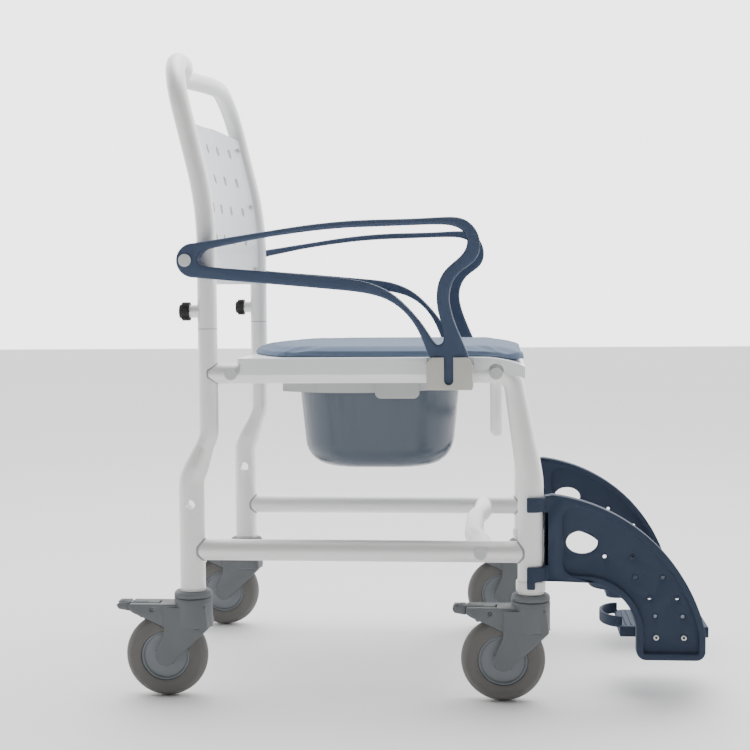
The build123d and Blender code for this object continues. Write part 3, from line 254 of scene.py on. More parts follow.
@dataclass(frozen=True)
class CoatedTube(Finish):
    """Baked coat on tube: soft orange peel, faint mottling, a few dull scuffs."""

    shade: Colour = (0.6, 0.62, 0.63)
    roughness: float = 0.32
    peel: float = 420.0
    peel_depth: float = 0.00006

    def build(self, board: NodeBoard) -> bpy.types.Material:
        """Lays out the coat's nodes."""
        mottle = board.span(board.noise(9.0, 4.0), 0.35, 0.7)
        base = board.blend(mottle, self.colour, self.shade)
        scuff = board.span(board.noise(55.0, 6.0, 0.75), 0.7, 0.78)
        board.wire(board.blend(scuff, base, tuple(0.82 * c for c in self.shade)), "Base Color")
        cloud = board.noise(30.0, 5.0, 0.6)
        rough = board.span(cloud, 0.3, 0.75, self.roughness - 0.06, self.roughness + 0.12)
        board.wire(rough, "Roughness")
        board.wire(board.bump(board.noise(self.peel, 2.0), self.peel_depth, 0.5), "Normal")
        board.fixed(Coat_Weight=0.18, Coat_Roughness=0.22, IOR=1.48)
        return board.material


@dataclass(frozen=True)
class Moulded(Finish):
    """Moulded plastic: fine grain, faint flow shading, worn lighter specks and dust."""

    worn: Colour = (0.5, 0.5, 0.5)
    roughness: float = 0.42
    grain: float = 1500.0
    grain_depth: float = 0.00003
    wear: float = 0.35
    coat: float = 0.0
    shine: float = 0.5

    def build(self, board: NodeBoard) -> bpy.types.Material:
        """Lays out the plastic's nodes."""
        flow = board.span(board.noise(14.0, 3.0), 0.3, 0.75)
        lifted = tuple(0.88 * c + 0.12 * w for c, w in zip(self.colour, self.worn))
        base = board.blend(flow, self.colour, lifted)
        specks = board.span(board.noise(260.0, 5.0, 0.7), 0.66, 0.8, 0.0, self.wear)
        board.wire(board.blend(specks, base, self.worn), "Base Color")
        rough = board.span(board.noise(38.0, 4.0), 0.3, 0.7, self.roughness - 0.05, self.roughness + 0.08)
        board.wire(rough, "Roughness")
        wave = board.bump(board.noise(22.0, 2.0), 0.0004, 0.25)
        board.wire(board.bump(board.cells(self.grain), self.grain_depth, 0.55, wave), "Normal")
        board.fixed(Coat_Weight=self.coat, Coat_Roughness=0.15, IOR=1.5, Specular_IOR_Level=self.shine)
        return board.material


@dataclass(frozen=True)
class SkinFoam(Finish):
    """The pad's integral skin: leathery pores over soft unevenness, with painted shade darkening the
    creases between the pores.
    """

    top: Colour = (0.2, 0.26, 0.34)
    roughness: float = 0.37

    def build(self, board: NodeBoard) -> bpy.types.Material:
        """Lays out the skin's nodes."""
        cloud = board.span(board.noise(12.0, 4.0), 0.3, 0.72)
        base = board.blend(cloud, self.colour, self.top)
        crease = board.span(board.cells(520.0, "DISTANCE_TO_EDGE"), 0.0, 0.09)
        # painted shade: the creases between the pores are darkened to 0.6 of the skin colour; the same
        # creases also drive the bump below
        dark = tuple(0.6 * c for c in self.colour)
        board.wire(board.blend(crease, dark, base), "Base Color")
        rough = board.span(board.noise(60.0, 4.0), 0.3, 0.75, self.roughness - 0.06, self.roughness + 0.1)
        board.wire(rough, "Roughness")
        soft = board.bump(board.noise(45.0, 3.0), 0.0006, 0.35)
        board.wire(board.bump(crease, 0.00016, 0.6, soft), "Normal")
        board.fixed(Sheen_Weight=0.05, Sheen_Roughness=0.4, IOR=1.46)
        return board.material


@dataclass(frozen=True)
class TyreRubber(Finish):
    """Grey tyre rubber with scuffed, dusty patches and a fine texture."""

    dusty: Colour = (0.42, 0.41, 0.39)
    roughness: float = 0.68

    def build(self, board: NodeBoard) -> bpy.types.Material:
        """Lays out the rubber's nodes."""
        patches = board.span(board.noise(34.0, 6.0, 0.65), 0.36, 0.68, 0.0, 0.4)
        base = board.blend(patches, self.colour, self.dusty)
        ragged = board.span(board.noise(190.0, 5.0, 0.7), 0.3, 0.62)
        worn = board.blend(board.marked("tread"), base, self.dusty)
        base = board.blend(ragged, base, worn)
        grit = board.span(board.noise(420.0, 5.0, 0.75), 0.6, 0.76)
        board.wire(board.blend(grit, base, tuple(0.62 * c for c in self.colour)), "Base Color")
        rough = board.span(board.noise(80.0, 4.0), 0.3, 0.7, self.roughness - 0.08, self.roughness + 0.12)
        board.wire(rough, "Roughness")
        coarse = board.bump(board.noise(160.0, 5.0, 0.7), 0.0003, 0.6)
        board.wire(board.bump(board.noise(900.0, 3.0), 0.0001, 0.5, coarse), "Normal")
        board.fixed(IOR=1.45, Specular_IOR_Level=0.3)
        return board.material


@dataclass(frozen=True)
class PlatedSteel(Finish):
    """Zinc plated steel with a fine mottle."""

    dull: Colour = (0.38, 0.37, 0.35)
    roughness: float = 0.3

    def build(self, board: NodeBoard) -> bpy.types.Material:
        """Lays out the plating's nodes."""
        mottle = board.span(board.noise(320.0, 4.0), 0.35, 0.7)
        board.wire(board.blend(mottle, self.colour, self.dull), "Base Color")
        rough = board.span(board.noise(500.0, 3.0), 0.3, 0.7, self.roughness - 0.06, self.roughness + 0.14)
        board.wire(rough, "Roughness")
        board.wire(board.bump(board.noise(1600.0, 2.0), 0.00002, 0.5), "Normal")
        board.fixed(Metallic=1.0)
        return board.material


COAT = CoatedTube("coated_tube", (0.42, 0.43, 0.435), shade=(0.35, 0.362, 0.368))
BEAD = CoatedTube(
    "weld_bead", (0.37, 0.38, 0.38), shade=(0.29, 0.3, 0.31), roughness=0.42, peel=900.0, peel_depth=0.00025
)
SHELL = Moulded(
    "white_shell", (0.44, 0.455, 0.465), worn=(0.38, 0.395, 0.405), roughness=0.38, grain=1100.0,
    wear=0.15, coat=0.1,
)
# painted light: the same white plastic as the seat's shell, made much lighter to stand for the bright
# backlight on the back panel
LIT_PANEL = Moulded(
    "panel_shell_lit", (0.76, 0.79, 0.84), worn=(0.66, 0.69, 0.74), roughness=0.38, grain=1100.0,
    wear=0.12, coat=0.1,
)
RING = Moulded(
    "ring_plastic", (0.54, 0.54, 0.53), worn=(0.42, 0.42, 0.42), roughness=0.35, grain=1300.0,
    grain_depth=0.00002, wear=0.2, coat=0.15,
)
NAVY = Moulded(
    "arm_navy", (0.0085, 0.0125, 0.027), worn=(0.07, 0.1, 0.17), roughness=0.34, wear=0.07, shine=0.28
)
FOOT_NAVY = Moulded("footrest_navy", (0.004, 0.0062, 0.0145), worn=(0.05, 0.07, 0.12), wear=0.1, shine=0.16)
SOCKET = Moulded(
    "bracket_plastic", (0.36, 0.35, 0.32), worn=(0.48, 0.46, 0.43), roughness=0.45, grain=1200.0, wear=0.25
)
SLIDE = Moulded(
    "slide_plastic", (0.29, 0.297, 0.3), worn=(0.42, 0.42, 0.41), roughness=0.48, grain=1200.0, wear=0.25
)
CAP = Moulded(
    "cap_plastic", (0.42, 0.43, 0.43), worn=(0.52, 0.52, 0.51), grain=1600.0, grain_depth=0.00002, wear=0.2
)
# painted shadow: a dark grey for the shade inside the seam between the backrest hoop and the rear post
SEAM_SHADOW = Moulded(
    "seam_shadow", (0.16, 0.16, 0.16), worn=(0.25, 0.25, 0.25), roughness=0.6, grain=1600.0,
    grain_depth=0.00002, wear=0.2,
)
# the knobs' own black; also used as painted shadow for the wheel cores' rings and the screws' hexagon
# sockets
KNOB = Moulded(
    "knob_black", (0.004, 0.004, 0.005), worn=(0.06, 0.06, 0.06), roughness=0.4, grain=1800.0,
    wear=0.12, shine=0.25,
)
CASTER = Moulded(
    "caster_plastic", (0.064, 0.068, 0.073), worn=(0.17, 0.175, 0.175), roughness=0.5, grain=1300.0,
    grain_depth=0.00005, wear=0.3, shine=0.3,
)
CORE = Moulded("wheel_core", (0.08, 0.09, 0.1), worn=(0.2, 0.21, 0.22), wear=0.25, shine=0.35)
PAN = Moulded(
    "pan_plastic", (0.025, 0.035, 0.048), worn=(0.11, 0.135, 0.16), roughness=0.3, grain=700.0,
    grain_depth=0.00002, wear=0.06, coat=0.08, shine=0.35,
)
PAD = SkinFoam("pad_skin", (0.008, 0.0135, 0.03), top=(0.02, 0.033, 0.06))
TYRE = TyreRubber("tyre", (0.105, 0.109, 0.111), dusty=(0.2, 0.196, 0.186))
STEEL = PlatedSteel("zinc_steel", (0.62, 0.61, 0.58))


# ------------------------------------------------------------------ modelling
class Bench:
    """Modelling steps that the sub-assemblies share.

    stand_off is how far a bevelled point may stand off its CAD node, as a share of the bevel's width.
    """

    nodes: dict[str, bpy.types.Object] = {}
    weld_distance: float = 0.01 * MM
    turned_distance: float = 0.001 * MM
    flat_angle: float = 0.6
    stand_off: float = 0.8
    bead_steps: int = 10

    @staticmethod
    def clear() -> None:
        """Leaves edit mode and deselects everything."""
        active = bpy.context.view_layer.objects.active
        if active is not None and active.mode != "OBJECT":
            bpy.ops.object.mode_set(mode="OBJECT")
        bpy.ops.object.select_all(action="DESELECT")

    @classmethod
    def hold(cls, piece: bpy.types.Object) -> None:
        """Selects one piece and makes it active."""
        cls.clear()
        piece.select_set(True)
        bpy.context.view_layer.objects.active = piece

    @classmethod
    def settle(cls, piece: bpy.types.Object) -> None:
        """Puts a piece's object at the origin, with its place in its mesh."""
        cls.hold(piece)
        bpy.ops.object.transform_apply(location=True, rotation=True, scale=True)

    @classmethod
    def apply(cls, piece: bpy.types.Object) -> None:
        """Applies every modifier on a piece."""
        cls.hold(piece)
        for modifier in list(piece.modifiers):
            bpy.ops.object.modifier_apply(modifier=modifier.name)

    @classmethod
    def smooth(cls, piece: bpy.types.Object, angle: float = 35.0) -> None:
        """Shades a piece smooth, with edges sharper than the angle kept sharp."""
        cls.hold(piece)
        bpy.ops.object.shade_smooth_by_angle(angle=math.radians(angle))

    @classmethod
    def copied(cls, node: str, name: str) -> bpy.types.Object:
        """A welded copy of a CAD node's mesh, ready to be worked on.

        Args:
            node: the CAD node.
            name: the new piece's name.

        Returns:
            The new piece, at the origin.
        """
        source = cls.nodes[node]
        piece = source.copy()
        piece.data = source.data.copy()
        piece.parent = None
        piece.name = name
        for key in list(piece.keys()):
            del piece[key]
        piece.data.materials.clear()
        bpy.context.scene.collection.objects.link(piece)
        cls.hold(piece)
        bpy.ops.mesh.customdata_custom_splitnormals_clear()
        bpy.ops.object.mode_set(mode="EDIT")
        bpy.ops.mesh.select_all(action="SELECT")
        bpy.ops.mesh.remove_doubles(threshold=cls.weld_distance)
        bpy.ops.mesh.dissolve_limited(angle_limit=math.radians(cls.flat_angle))
        bpy.ops.object.mode_set(mode="OBJECT")
        return piece

    @classmethod
    def softened(cls, node: str, width: float, segments: int = 3, angle: float = 38.0) -> bpy.types.Object:
        """A copy of a CAD node with rounded edges, which stands for the node.

        Args:
            node: the CAD node.
            width: how far each edge is rounded.
            segments: steps in each rounding.
            angle: edges sharper than this are rounded, in degrees.

        Returns:
            The new piece.
        """
        piece = cls.copied(node, f"{node}_shell")
        bevel = piece.modifiers.new("edges", "BEVEL")
        bevel.width = width
        bevel.segments = segments
        bevel.limit_method = "ANGLE"
        bevel.angle_limit = math.radians(angle)
        bevel.use_clamp_overlap = False
        bevel.harden_normals = False
        bevel.miter_outer = "MITER_ARC"
        cls.apply(piece)
        cls.smooth(piece, 40.0)
        cls.drawn_back(piece, node, cls.stand_off * width)
        return piece

    @classmethod
    def drawn_back(cls, piece: bpy.types.Object, node: str, most: float) -> None:
        """Puts points that a bevel threw off the node's surface back on it.

        Args:
            piece: the bevelled piece.
            node: the CAD node that it was made from.
            most: how far a point may stand off.
        """
        source = cls.nodes[node].data
        points = [vertex.co.copy() for vertex in source.vertices]
        tree = BVHTree.FromPolygons(points, [tuple(face.vertices) for face in source.polygons])
        for vertex in piece.data.vertices:
            nearest, _, _, off = tree.find_nearest(vertex.co)
            if off > most:
                vertex.co = nearest

    @classmethod
    def turned(cls, name: str, profile: list[tuple[float, float]], centre: Vector, axis: Axis,
               steps: int = 64) -> bpy.types.Object:
        """A turned piece: a circle that is extruded and scaled along an axis.

        Args:
            name: the piece's name.
            profile: radius and distance along the axis, from one end to the other.
            centre: the point that distances are measured from.
            axis: the turning axis.
            steps: points round the piece.

        Returns:
            The new piece, closed at both ends.
        """
        cls.clear()
        facing = axis.vector.to_track_quat("Z", "Y").to_euler()
        first = profile[0]
        start = centre + axis.vector * first[1]
        bpy.ops.mesh.primitive_circle_add(
            vertices=steps, radius=first[0], fill_type="NGON", location=start, rotation=facing
        )
        piece = bpy.context.object
        piece.name = name
        cls.settle(piece)
        bpy.ops.object.mode_set(mode="EDIT")
        bpy.ops.mesh.select_all(action="SELECT")
        for (radius, at), (next_radius, next_at) in zip(profile, profile[1:]):
            bpy.ops.mesh.extrude_region_move(
                TRANSFORM_OT_translate={"value": axis.vector * (next_at - at)}
            )
            grow = next_radius / radius
            pivot = centre + axis.vector * next_at
            stretch = tuple(1.0 if part else grow for part in axis.value)
            bpy.ops.transform.resize(value=stretch, center_override=pivot)
        bpy.ops.mesh.select_all(action="SELECT")
        bpy.ops.mesh.remove_doubles(threshold=cls.turned_distance)
        bpy.ops.mesh.normals_make_consistent(inside=False)
        bpy.ops.object.mode_set(mode="OBJECT")
        cls.smooth(piece, 32.0)
        return piece

    @classmethod
    def ring(cls, name: str, centre: Vector, facing: Vector, major: float, minor: float,
             steps: int = 64) -> bpy.types.Object:
        """A round bead.

        Args:
            name: the piece's name.
            centre: the bead's middle.
            facing: the direction of its axis.
            major: radius to the middle of its section.
            minor: radius of its section.
            steps: points round the bead.

        Returns:
            The new piece.
        """
        cls.clear()
        turn = facing.to_track_quat("Z", "Y").to_euler()
        bpy.ops.mesh.primitive_torus_add(
            location=centre, rotation=turn, major_radius=major, minor_radius=minor,
            major_segments=steps, minor_segments=cls.bead_steps,
        )
        piece = bpy.context.object
        piece.name = name
        cls.settle(piece)
        cls.smooth(piece, 60.0)
        return piece

    @classmethod
    def bar(cls, name: str, centre: Vector, size: tuple[float, float, float],
            edge: float) -> bpy.types.Object:
        """A short moulded rib with rounded edges.

        Args:
            name: the rib's name.
            centre: its middle.
            size: its sides along X, Y and Z.
            edge: how far its edges are rounded.

        Returns:
            The new piece.
        """
        cls.clear()
        bpy.ops.mesh.primitive_cube_add(size=1.0, location=centre)
        piece = bpy.context.object
        piece.name = name
        piece.scale = size
        cls.settle(piece)
        bpy.ops.object.mode_set(mode="EDIT")
        bpy.ops.mesh.select_all(action="SELECT")
        bpy.ops.mesh.bevel(offset=edge, segments=2, affect="EDGES")
        bpy.ops.mesh.normals_make_consistent(inside=False)
        bpy.ops.object.mode_set(mode="OBJECT")
        cls.smooth(piece, 50.0)
        return piece

    @classmethod
    def weld(cls, name: str, centre: Vector, along: Vector, tube: float, wall: float,
             bead: float) -> bpy.types.Object:
        """A weld bead where a level tube runs into an upright round tube.

        Args:
            name: the bead's name.
            centre: where the two centrelines cross.
            along: from there along the level tube.
            tube: the level tube's radius.
            wall: the upright tube's radius.
            bead: the bead's own radius.

        Returns:
            The new piece, bent to the upright tube's round wall.
        """
        piece = cls.ring(name, centre, along, tube, bead, 72)
        for vertex in piece.data.vertices:
            side = vertex.co.y - centre.y
            vertex.co += along * math.sqrt(max(wall * wall - min(side * side, tube * tube), 0.0))
        return piece

    @classmethod
    def mark(cls, piece: bpy.types.Object, name: str, values: list[float]) -> None:
        """Writes one value for each of a mesh's points.

        Args:
            piece: the piece.
            name: the attribute's name.
            values: a value for each point.
        """
        layer = piece.data.attributes.new(name, "FLOAT", "POINT")
        layer.data.foreach_set("value", values)

    @classmethod
    def joined(cls, name: str, pieces: list[bpy.types.Object]) -> bpy.types.Object:
        """Several pieces as one object.

        Args:
            name: the whole piece's name.
            pieces: what goes into it.

        Returns:
            The joined piece.
        """
        cls.clear()
        for piece in pieces:
            piece.select_set(True)
        bpy.context.view_layer.objects.active = pieces[0]
        if len(pieces) > 1:
            bpy.ops.object.join()
        whole = bpy.context.view_layer.objects.active
        whole.name = name
        return whole

    @classmethod
    def adopt(cls, piece: bpy.types.Object, body: str, finish: Finish, *nodes: str) -> bpy.types.Object:
        """Gives a piece its finish and its body, and hides the CAD nodes that it stands for.

        Args:
            piece: the finished piece.
            body: the CAD body that it rides on.
            finish: its finish.
            nodes: the CAD nodes that it replaces.

        Returns:
            The same piece.
        """
        piece.data.materials.clear()
        piece.data.materials.append(finish.material())
        if nodes:
            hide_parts(*nodes)
        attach(piece, body)
        LOG.info("%s rides on %s, %d faces", piece.name, body, len(piece.data.polygons))
        return piece

    @classmethod
    def dress(cls, finish: Finish, *nodes: str) -> None:
        """Gives CAD nodes that stay in view their finish."""
        for node in nodes:
            mesh = cls.nodes[node].data
            mesh.materials.clear()
            mesh.materials.append(finish.material())

    @staticmethod
    def middle(node: str) -> Vector:
        """The middle of a CAD node's box."""
        low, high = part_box(node)
        return (low + high) / 2


# -------------------------------------------------------------- sub-assemblies
@dataclass
class TubeFrame:
    """The coated tubes with their bolts, caps and weld beads, and dark rings painted as the shadow in their
    seams.
    """

    post_radius: float = 14.5 * MM
    bead: float = 1.7 * MM
    seam: float = 0.45 * MM
    seam_inset: float = 0.2 * MM
    ring_edge: float = 0.8 * MM
    seat_bead_share: float = 0.96

    def build(self) -> None:
        """Dresses the frame's nodes and adds the beads and the painted seam shadows."""
        for side in SIDES:
            Bench.dress(
                COAT, f"rear_post_{side}", f"seat_rail_{side}", f"front_leg_{side}", f"lower_rail_{side}"
            )
            self.beads(side)
            self.post_seam_shadow(side)
        Bench.dress(COAT, "rear_cross_tube", "front_drop_tube", "lower_cross_tube")
        Bench.dress(STEEL, "frame_bolts", "caster_stems")
        Bench.dress(CAP, "bolt_caps")
        Bench.adopt(Bench.softened("latch_rings", self.ring_edge, 2), "frame", RING, "latch_rings")

    def beads(self, side: str) -> None:
        """The weld beads at both ends of one side's lower rail and at its seat rail."""
        low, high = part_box(f"lower_rail_{side}")
        rail = (low + high) / 2
        post_low, post_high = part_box(f"rear_post_{side}")
        rail_r = (high.z - low.z) / 2
        post_r = (post_high.y - post_low.y) / 2
        rear_x = post_low.x + post_r
        front_x = Bench.middle("latch_rings").x
        seat_low, seat_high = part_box(f"seat_rail_{side}")
        seat_r = (seat_high.z - seat_low.z) / 2
        upper_x = post_high.x - self.post_radius
        forward = Axis.X.vector
        rear = Vector((rear_x, rail.y, rail.z))
        front = Vector((front_x, rail.y, rail.z))
        seat = Vector((upper_x, rail.y, (seat_low.z + seat_high.z) / 2))
        seat_bead_r = seat_r * self.seat_bead_share
        pieces = [
            Bench.weld(f"bead_rear_{side}", rear, forward, rail_r, post_r, self.bead),
            Bench.weld(f"bead_front_{side}", front, -forward, rail_r, post_r, self.bead),
            Bench.weld(f"bead_seat_{side}", seat, forward, seat_bead_r, self.post_radius, self.bead),
        ]
        Bench.adopt(Bench.joined(f"weld_beads_{side}", pieces), "frame", BEAD)

    def post_seam_shadow(self, side: str) -> None:
        """The fine dark ring of painted shadow in the seam where the backrest hoop stands on the rear post.
        """
        hoop_low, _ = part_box("backrest_hoop")
        post = Bench.middle(f"rear_post_{side}")
        post_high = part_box(f"rear_post_{side}")[1]
        at = Vector((post_high.x - self.post_radius, post.y, hoop_low.z))
        radius = self.post_radius - self.seam_inset
        # painted shadow: a thin dark ring where the hoop meets the post
        seam = Bench.ring(f"post_seam_shadow_{side}", at, Axis.Z.vector, radius, self.seam)
        Bench.adopt(seam, "frame", SEAM_SHADOW)


@dataclass
class Backrest:
    """The hoop, the back panel, its pins and the clamp knobs."""

    knob_edge: float = 1.0 * MM
    bolt_edge: float = 0.7 * MM

    def build(self) -> None:
        """Builds and dresses the backrest."""
        Bench.dress(COAT, "backrest_hoop")
        Bench.dress(STEEL, "panel_pins")
        Bench.dress(LIT_PANEL, "back_panel")
        Bench.adopt(Bench.softened("pivot_bolts", self.bolt_edge), "backrest", CAP, "pivot_bolts")
        for side in SIDES:
            knob = Bench.softened(f"clamp_knob_{side}", self.knob_edge, 4)
            Bench.adopt(knob, f"clamp_knob_{side}", KNOB, f"clamp_knob_{side}")


@dataclass
class Seat:
    """The seat base, its sockets, slides and latches, and the pan under it."""

    socket_edge: float = 0.8 * MM
    slide_edge: float = 0.7 * MM
    pan_edge: float = 1.0 * MM

    def build(self) -> None:
        """Builds and dresses the seat."""
        Bench.dress(SHELL, "seat_base")
        Bench.adopt(Bench.softened("pan_latches", self.socket_edge), "frame", SLIDE, "pan_latches")
        for side in SIDES:
            bracket = Bench.softened(f"arm_bracket_{side}", self.socket_edge)
            Bench.adopt(bracket, "frame", SOCKET, f"arm_bracket_{side}")
            slide = Bench.softened(f"pan_slide_{side}", self.slide_edge)
            Bench.adopt(slide, "frame", SLIDE, f"pan_slide_{side}")
        Bench.adopt(Bench.softened("commode_pan", self.pan_edge), "pan", PAN, "commode_pan")


@dataclass
class SeatPad:
    """The soft pad on the seat, swollen by cloth simulation and held at its flat base."""

    voxel: float = 5.0 * MM
    slack: float = 0.992
    sink: float = 2.6 * MM
    pressure: float = 4.0
    frames: int = 20
    most: float = 5.0 * MM
    held: float = 1.5 * MM
    lip: float = 5.0 * MM
    thick: float = 13.4 * MM
    nose_x: float = 105.0 * MM
    nose_length: float = 66.0 * MM
    nose_drop: float = 13.0 * MM
    top: float = 0.0

    def build(self) -> None:
        """Builds the pad from the space that its CAD solid holds."""
        low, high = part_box("seat_pad")
        self.top = high.z
        pad = Bench.copied("seat_pad", "seat_pad_soft")
        Bench.hold(pad)
        pad.data.remesh_voxel_size = self.voxel
        bpy.ops.object.voxel_remesh()
        self.shrink(pad, low, high)
        start = [vertex.co.copy() for vertex in pad.data.vertices]
        self.swell(pad, start)
        self.limit(pad, start, low, high)
        ease = pad.modifiers.new("ease", "SMOOTH")
        ease.factor = 0.5
        ease.iterations = 3
        finer = pad.modifiers.new("finer", "SUBSURF")
        finer.levels = 1
        finer.render_levels = 1
        Bench.apply(pad)
        Bench.smooth(pad, 180.0)
        Bench.adopt(pad, "seat_cushion", PAD, "seat_pad")

    def shrink(self, pad: bpy.types.Object, low: Vector, high: Vector) -> None:
        """Draws the remeshed pad in a little, so that it swells back to its size.

        Args:
            pad: the remeshed pad.
            low: lowest corner of its CAD solid.
            high: highest corner of its CAD solid.
        """
        middle = (low + high) / 2
        for vertex in pad.data.vertices:
            offset = vertex.co - middle
            vertex.co.x = middle.x + offset.x * self.slack
            vertex.co.y = middle.y + offset.y * self.slack
            if self.above_base(vertex.co) > self.lip:
                vertex.co.z -= self.sink

    def above_base(self, point: Vector) -> float:
        """The height of a point above the seat's top, which curves down towards the nose."""
        bend = max(0.0, point.x - self.nose_x) / self.nose_length
        return point.z - (self.top - self.thick - self.nose_drop * bend ** 2)

    def swell(self, pad: bpy.types.Object, start: list[Vector]) -> None:
        """Runs the cloth simulation and keeps its last frame.

        Args:
            pad: the drawn-in pad.
            start: its points before the simulation.
        """
        group = pad.vertex_groups.new(name="base")
        resting = [i for i, point in enumerate(start) if self.above_base(point) < self.held]
        group.add(resting, 1.0, "REPLACE")
        cloth = pad.modifiers.new("swell", "CLOTH")
        settings = cloth.settings
        settings.quality = 5
        settings.mass = 0.3
        settings.tension_stiffness = 15.0
        settings.compression_stiffness = 15.0
        settings.bending_stiffness = 0.6
        settings.use_pressure = True
        settings.uniform_pressure_force = self.pressure
        settings.effector_weights.gravity = 0.0
        settings.vertex_group_mass = group.name
        cloth.point_cache.frame_start = 1
        cloth.point_cache.frame_end = self.frames
        scene = bpy.context.scene
        for frame in range(1, self.frames + 1):
            scene.frame_set(frame)
        Bench.apply(pad)
        scene.frame_set(1)
        pad.vertex_groups.clear()
        LOG.info("seat pad swollen, %d points held", len(resting))

    def limit(self, pad: bpy.types.Object, start: list[Vector], low: Vector, high: Vector) -> None:
        """Caps how far each point moved, and keeps the pad over the seat.

        Args:
            pad: the swollen pad.
            start: its points before the simulation.
            low: lowest corner of its CAD solid.
            high: highest corner of its CAD solid.
        """
        for vertex, before in zip(pad.data.vertices, start):
            move = vertex.co - before
            if move.length > self.most:
                move *= self.most / move.length
            vertex.co = before + move
            vertex.co.x = min(max(vertex.co.x, low.x), high.x)
            vertex.co.y = min(max(vertex.co.y, low.y), high.y)


@dataclass
class Armrests:
    """The two loop armrests."""

    edge: float = 3.2 * MM

    def build(self) -> None:
        """Builds both armrests."""
        for side in SIDES:
            arm = Bench.softened(f"armrest_{side}", self.edge, 4)
            Bench.adopt(arm, f"armrest_{side}", NAVY, f"armrest_{side}")


@dataclass
class Footrest:
    """One hanger with its footplate."""

    side: str
    hanger_edge: float = 1.9 * MM
    carrier_edge: float = 0.8 * MM
    plate_edge: float = 1.4 * MM
    screw_edge: float = 0.9 * MM
    half_thickness: float = 10.0 * MM
    hole_pair: float = 40.0 * MM
    settings: tuple[tuple[float, float], ...] = (
        (0.362, 0.098), (0.3606, 0.129), (0.3525, 0.156), (0.3315, 0.187), (0.287, 0.217),
    )
    recess: float = 6.5 * MM
    rim_radius: float = 4.0 * MM
    rim_bead: float = 0.75 * MM
    socket_radius: float = 2.1 * MM
    rib_pitch: float = 8.0 * MM
    rib_width: float = 2.2 * MM
    rib_height: float = 1.1 * MM
    rib_margin: float = 10.0 * MM
    rib_edge: float = 0.5 * MM
    plate_rise: float = 6.0 * MM
    hinge_margin: float = 24.0 * MM
    loop_reach: float = 27.0 * MM
    socket_lift: float = 0.05 * MM
    socket_profile: tuple[tuple[float, float], ...] = ((1.0, 0.0), (0.92, 0.12 * MM), (0.8, 0.02 * MM))

    @property
    def outward(self) -> float:
        """The sign of Y away from the chair's middle."""
        return -1.0 if self.side == "right" else 1.0

    def build(self) -> None:
        """Builds the footrest."""
        side = self.side
        hanger = Bench.softened(f"footrest_hanger_{side}", self.hanger_edge)
        Bench.adopt(hanger, f"footrest_{side}", FOOT_NAVY, f"footrest_hanger_{side}")
        carrier = Bench.softened(f"footplate_bracket_{side}", self.carrier_edge)
        Bench.adopt(carrier, f"footrest_{side}", FOOT_NAVY, f"footplate_bracket_{side}")
        self.rims()
        self.screw_heads()
        plate = Bench.softened(f"footplate_{side}", self.plate_edge)
        Bench.adopt(plate, f"footplate_{side}", FOOT_NAVY, f"footplate_{side}")
        self.ribs()

    def rims(self) -> None:
        """Raised rims round the height holes, in both recesses of the hanger."""
        low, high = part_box(f"rear_post_{self.side}")
        middle = (low.y + high.y) / 2
        half = self.half_thickness - self.recess
        rims = []
        for number, (x, z) in enumerate(self.settings):
            for hole_x in (x, x + self.hole_pair):
                for face in (-half, half):
                    at = Vector((hole_x, middle + face, z))
                    name = f"hole_rim_{self.side}_{number}"
                    rims.append(Bench.ring(name, at, Axis.Y.vector, self.rim_radius, self.rim_bead, 32))
        Bench.adopt(Bench.joined(f"hole_rims_{self.side}", rims), f"footrest_{self.side}", FOOT_NAVY)

    def screw_heads(self) -> None:
        """The two button screws, with thin black hexagons painted as the shade inside their sockets."""
        side = self.side
        screws = Bench.softened(f"footplate_screws_{side}", self.screw_edge)
        Bench.adopt(screws, f"footrest_{side}", STEEL, f"footplate_screws_{side}")
        low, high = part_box(f"footplate_screws_{side}")
        outer_y = low.y if side == "right" else high.y
        x, z = self.settings[0]
        profile = [(self.socket_radius * share, self.outward * at) for share, at in self.socket_profile]
        sockets = []
        for hole_x in (x, x + self.hole_pair):
            centre = Vector((hole_x, outer_y + self.outward * self.socket_lift, z))
            # painted shade: a thin black hexagon on each screw head for the dark inside of its socket
            sockets.append(Bench.turned(f"hex_socket_shades_piece_{side}", profile, centre, Axis.Y, 6))
        Bench.adopt(Bench.joined(f"hex_socket_shades_{side}", sockets), f"footrest_{side}", KNOB)

    def ribs(self) -> None:
        """Anti-slip ribs across the top of the footplate."""
        side = self.side
        low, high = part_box(f"footplate_{side}")
        top = self.settings[0][1] + self.plate_rise
        inner = min(abs(low.y), abs(high.y)) + self.rib_margin
        outer = max(abs(low.y), abs(high.y)) - self.hinge_margin
        start_x = low.x + self.loop_reach + self.rib_margin
        count = int((high.x - self.rib_margin - start_x) / self.rib_pitch) + 1
        ribs = []
        for number in range(count):
            at = Vector((start_x + number * self.rib_pitch, self.outward * (inner + outer) / 2, top))
            size = (self.rib_width, outer - inner, 2 * self.rib_height)
            ribs.append(Bench.bar(f"foot_rib_{side}_{number}", at, size, self.rib_edge))
        Bench.adopt(Bench.joined(f"foot_ribs_{side}", ribs), f"footplate_{side}", FOOT_NAVY)


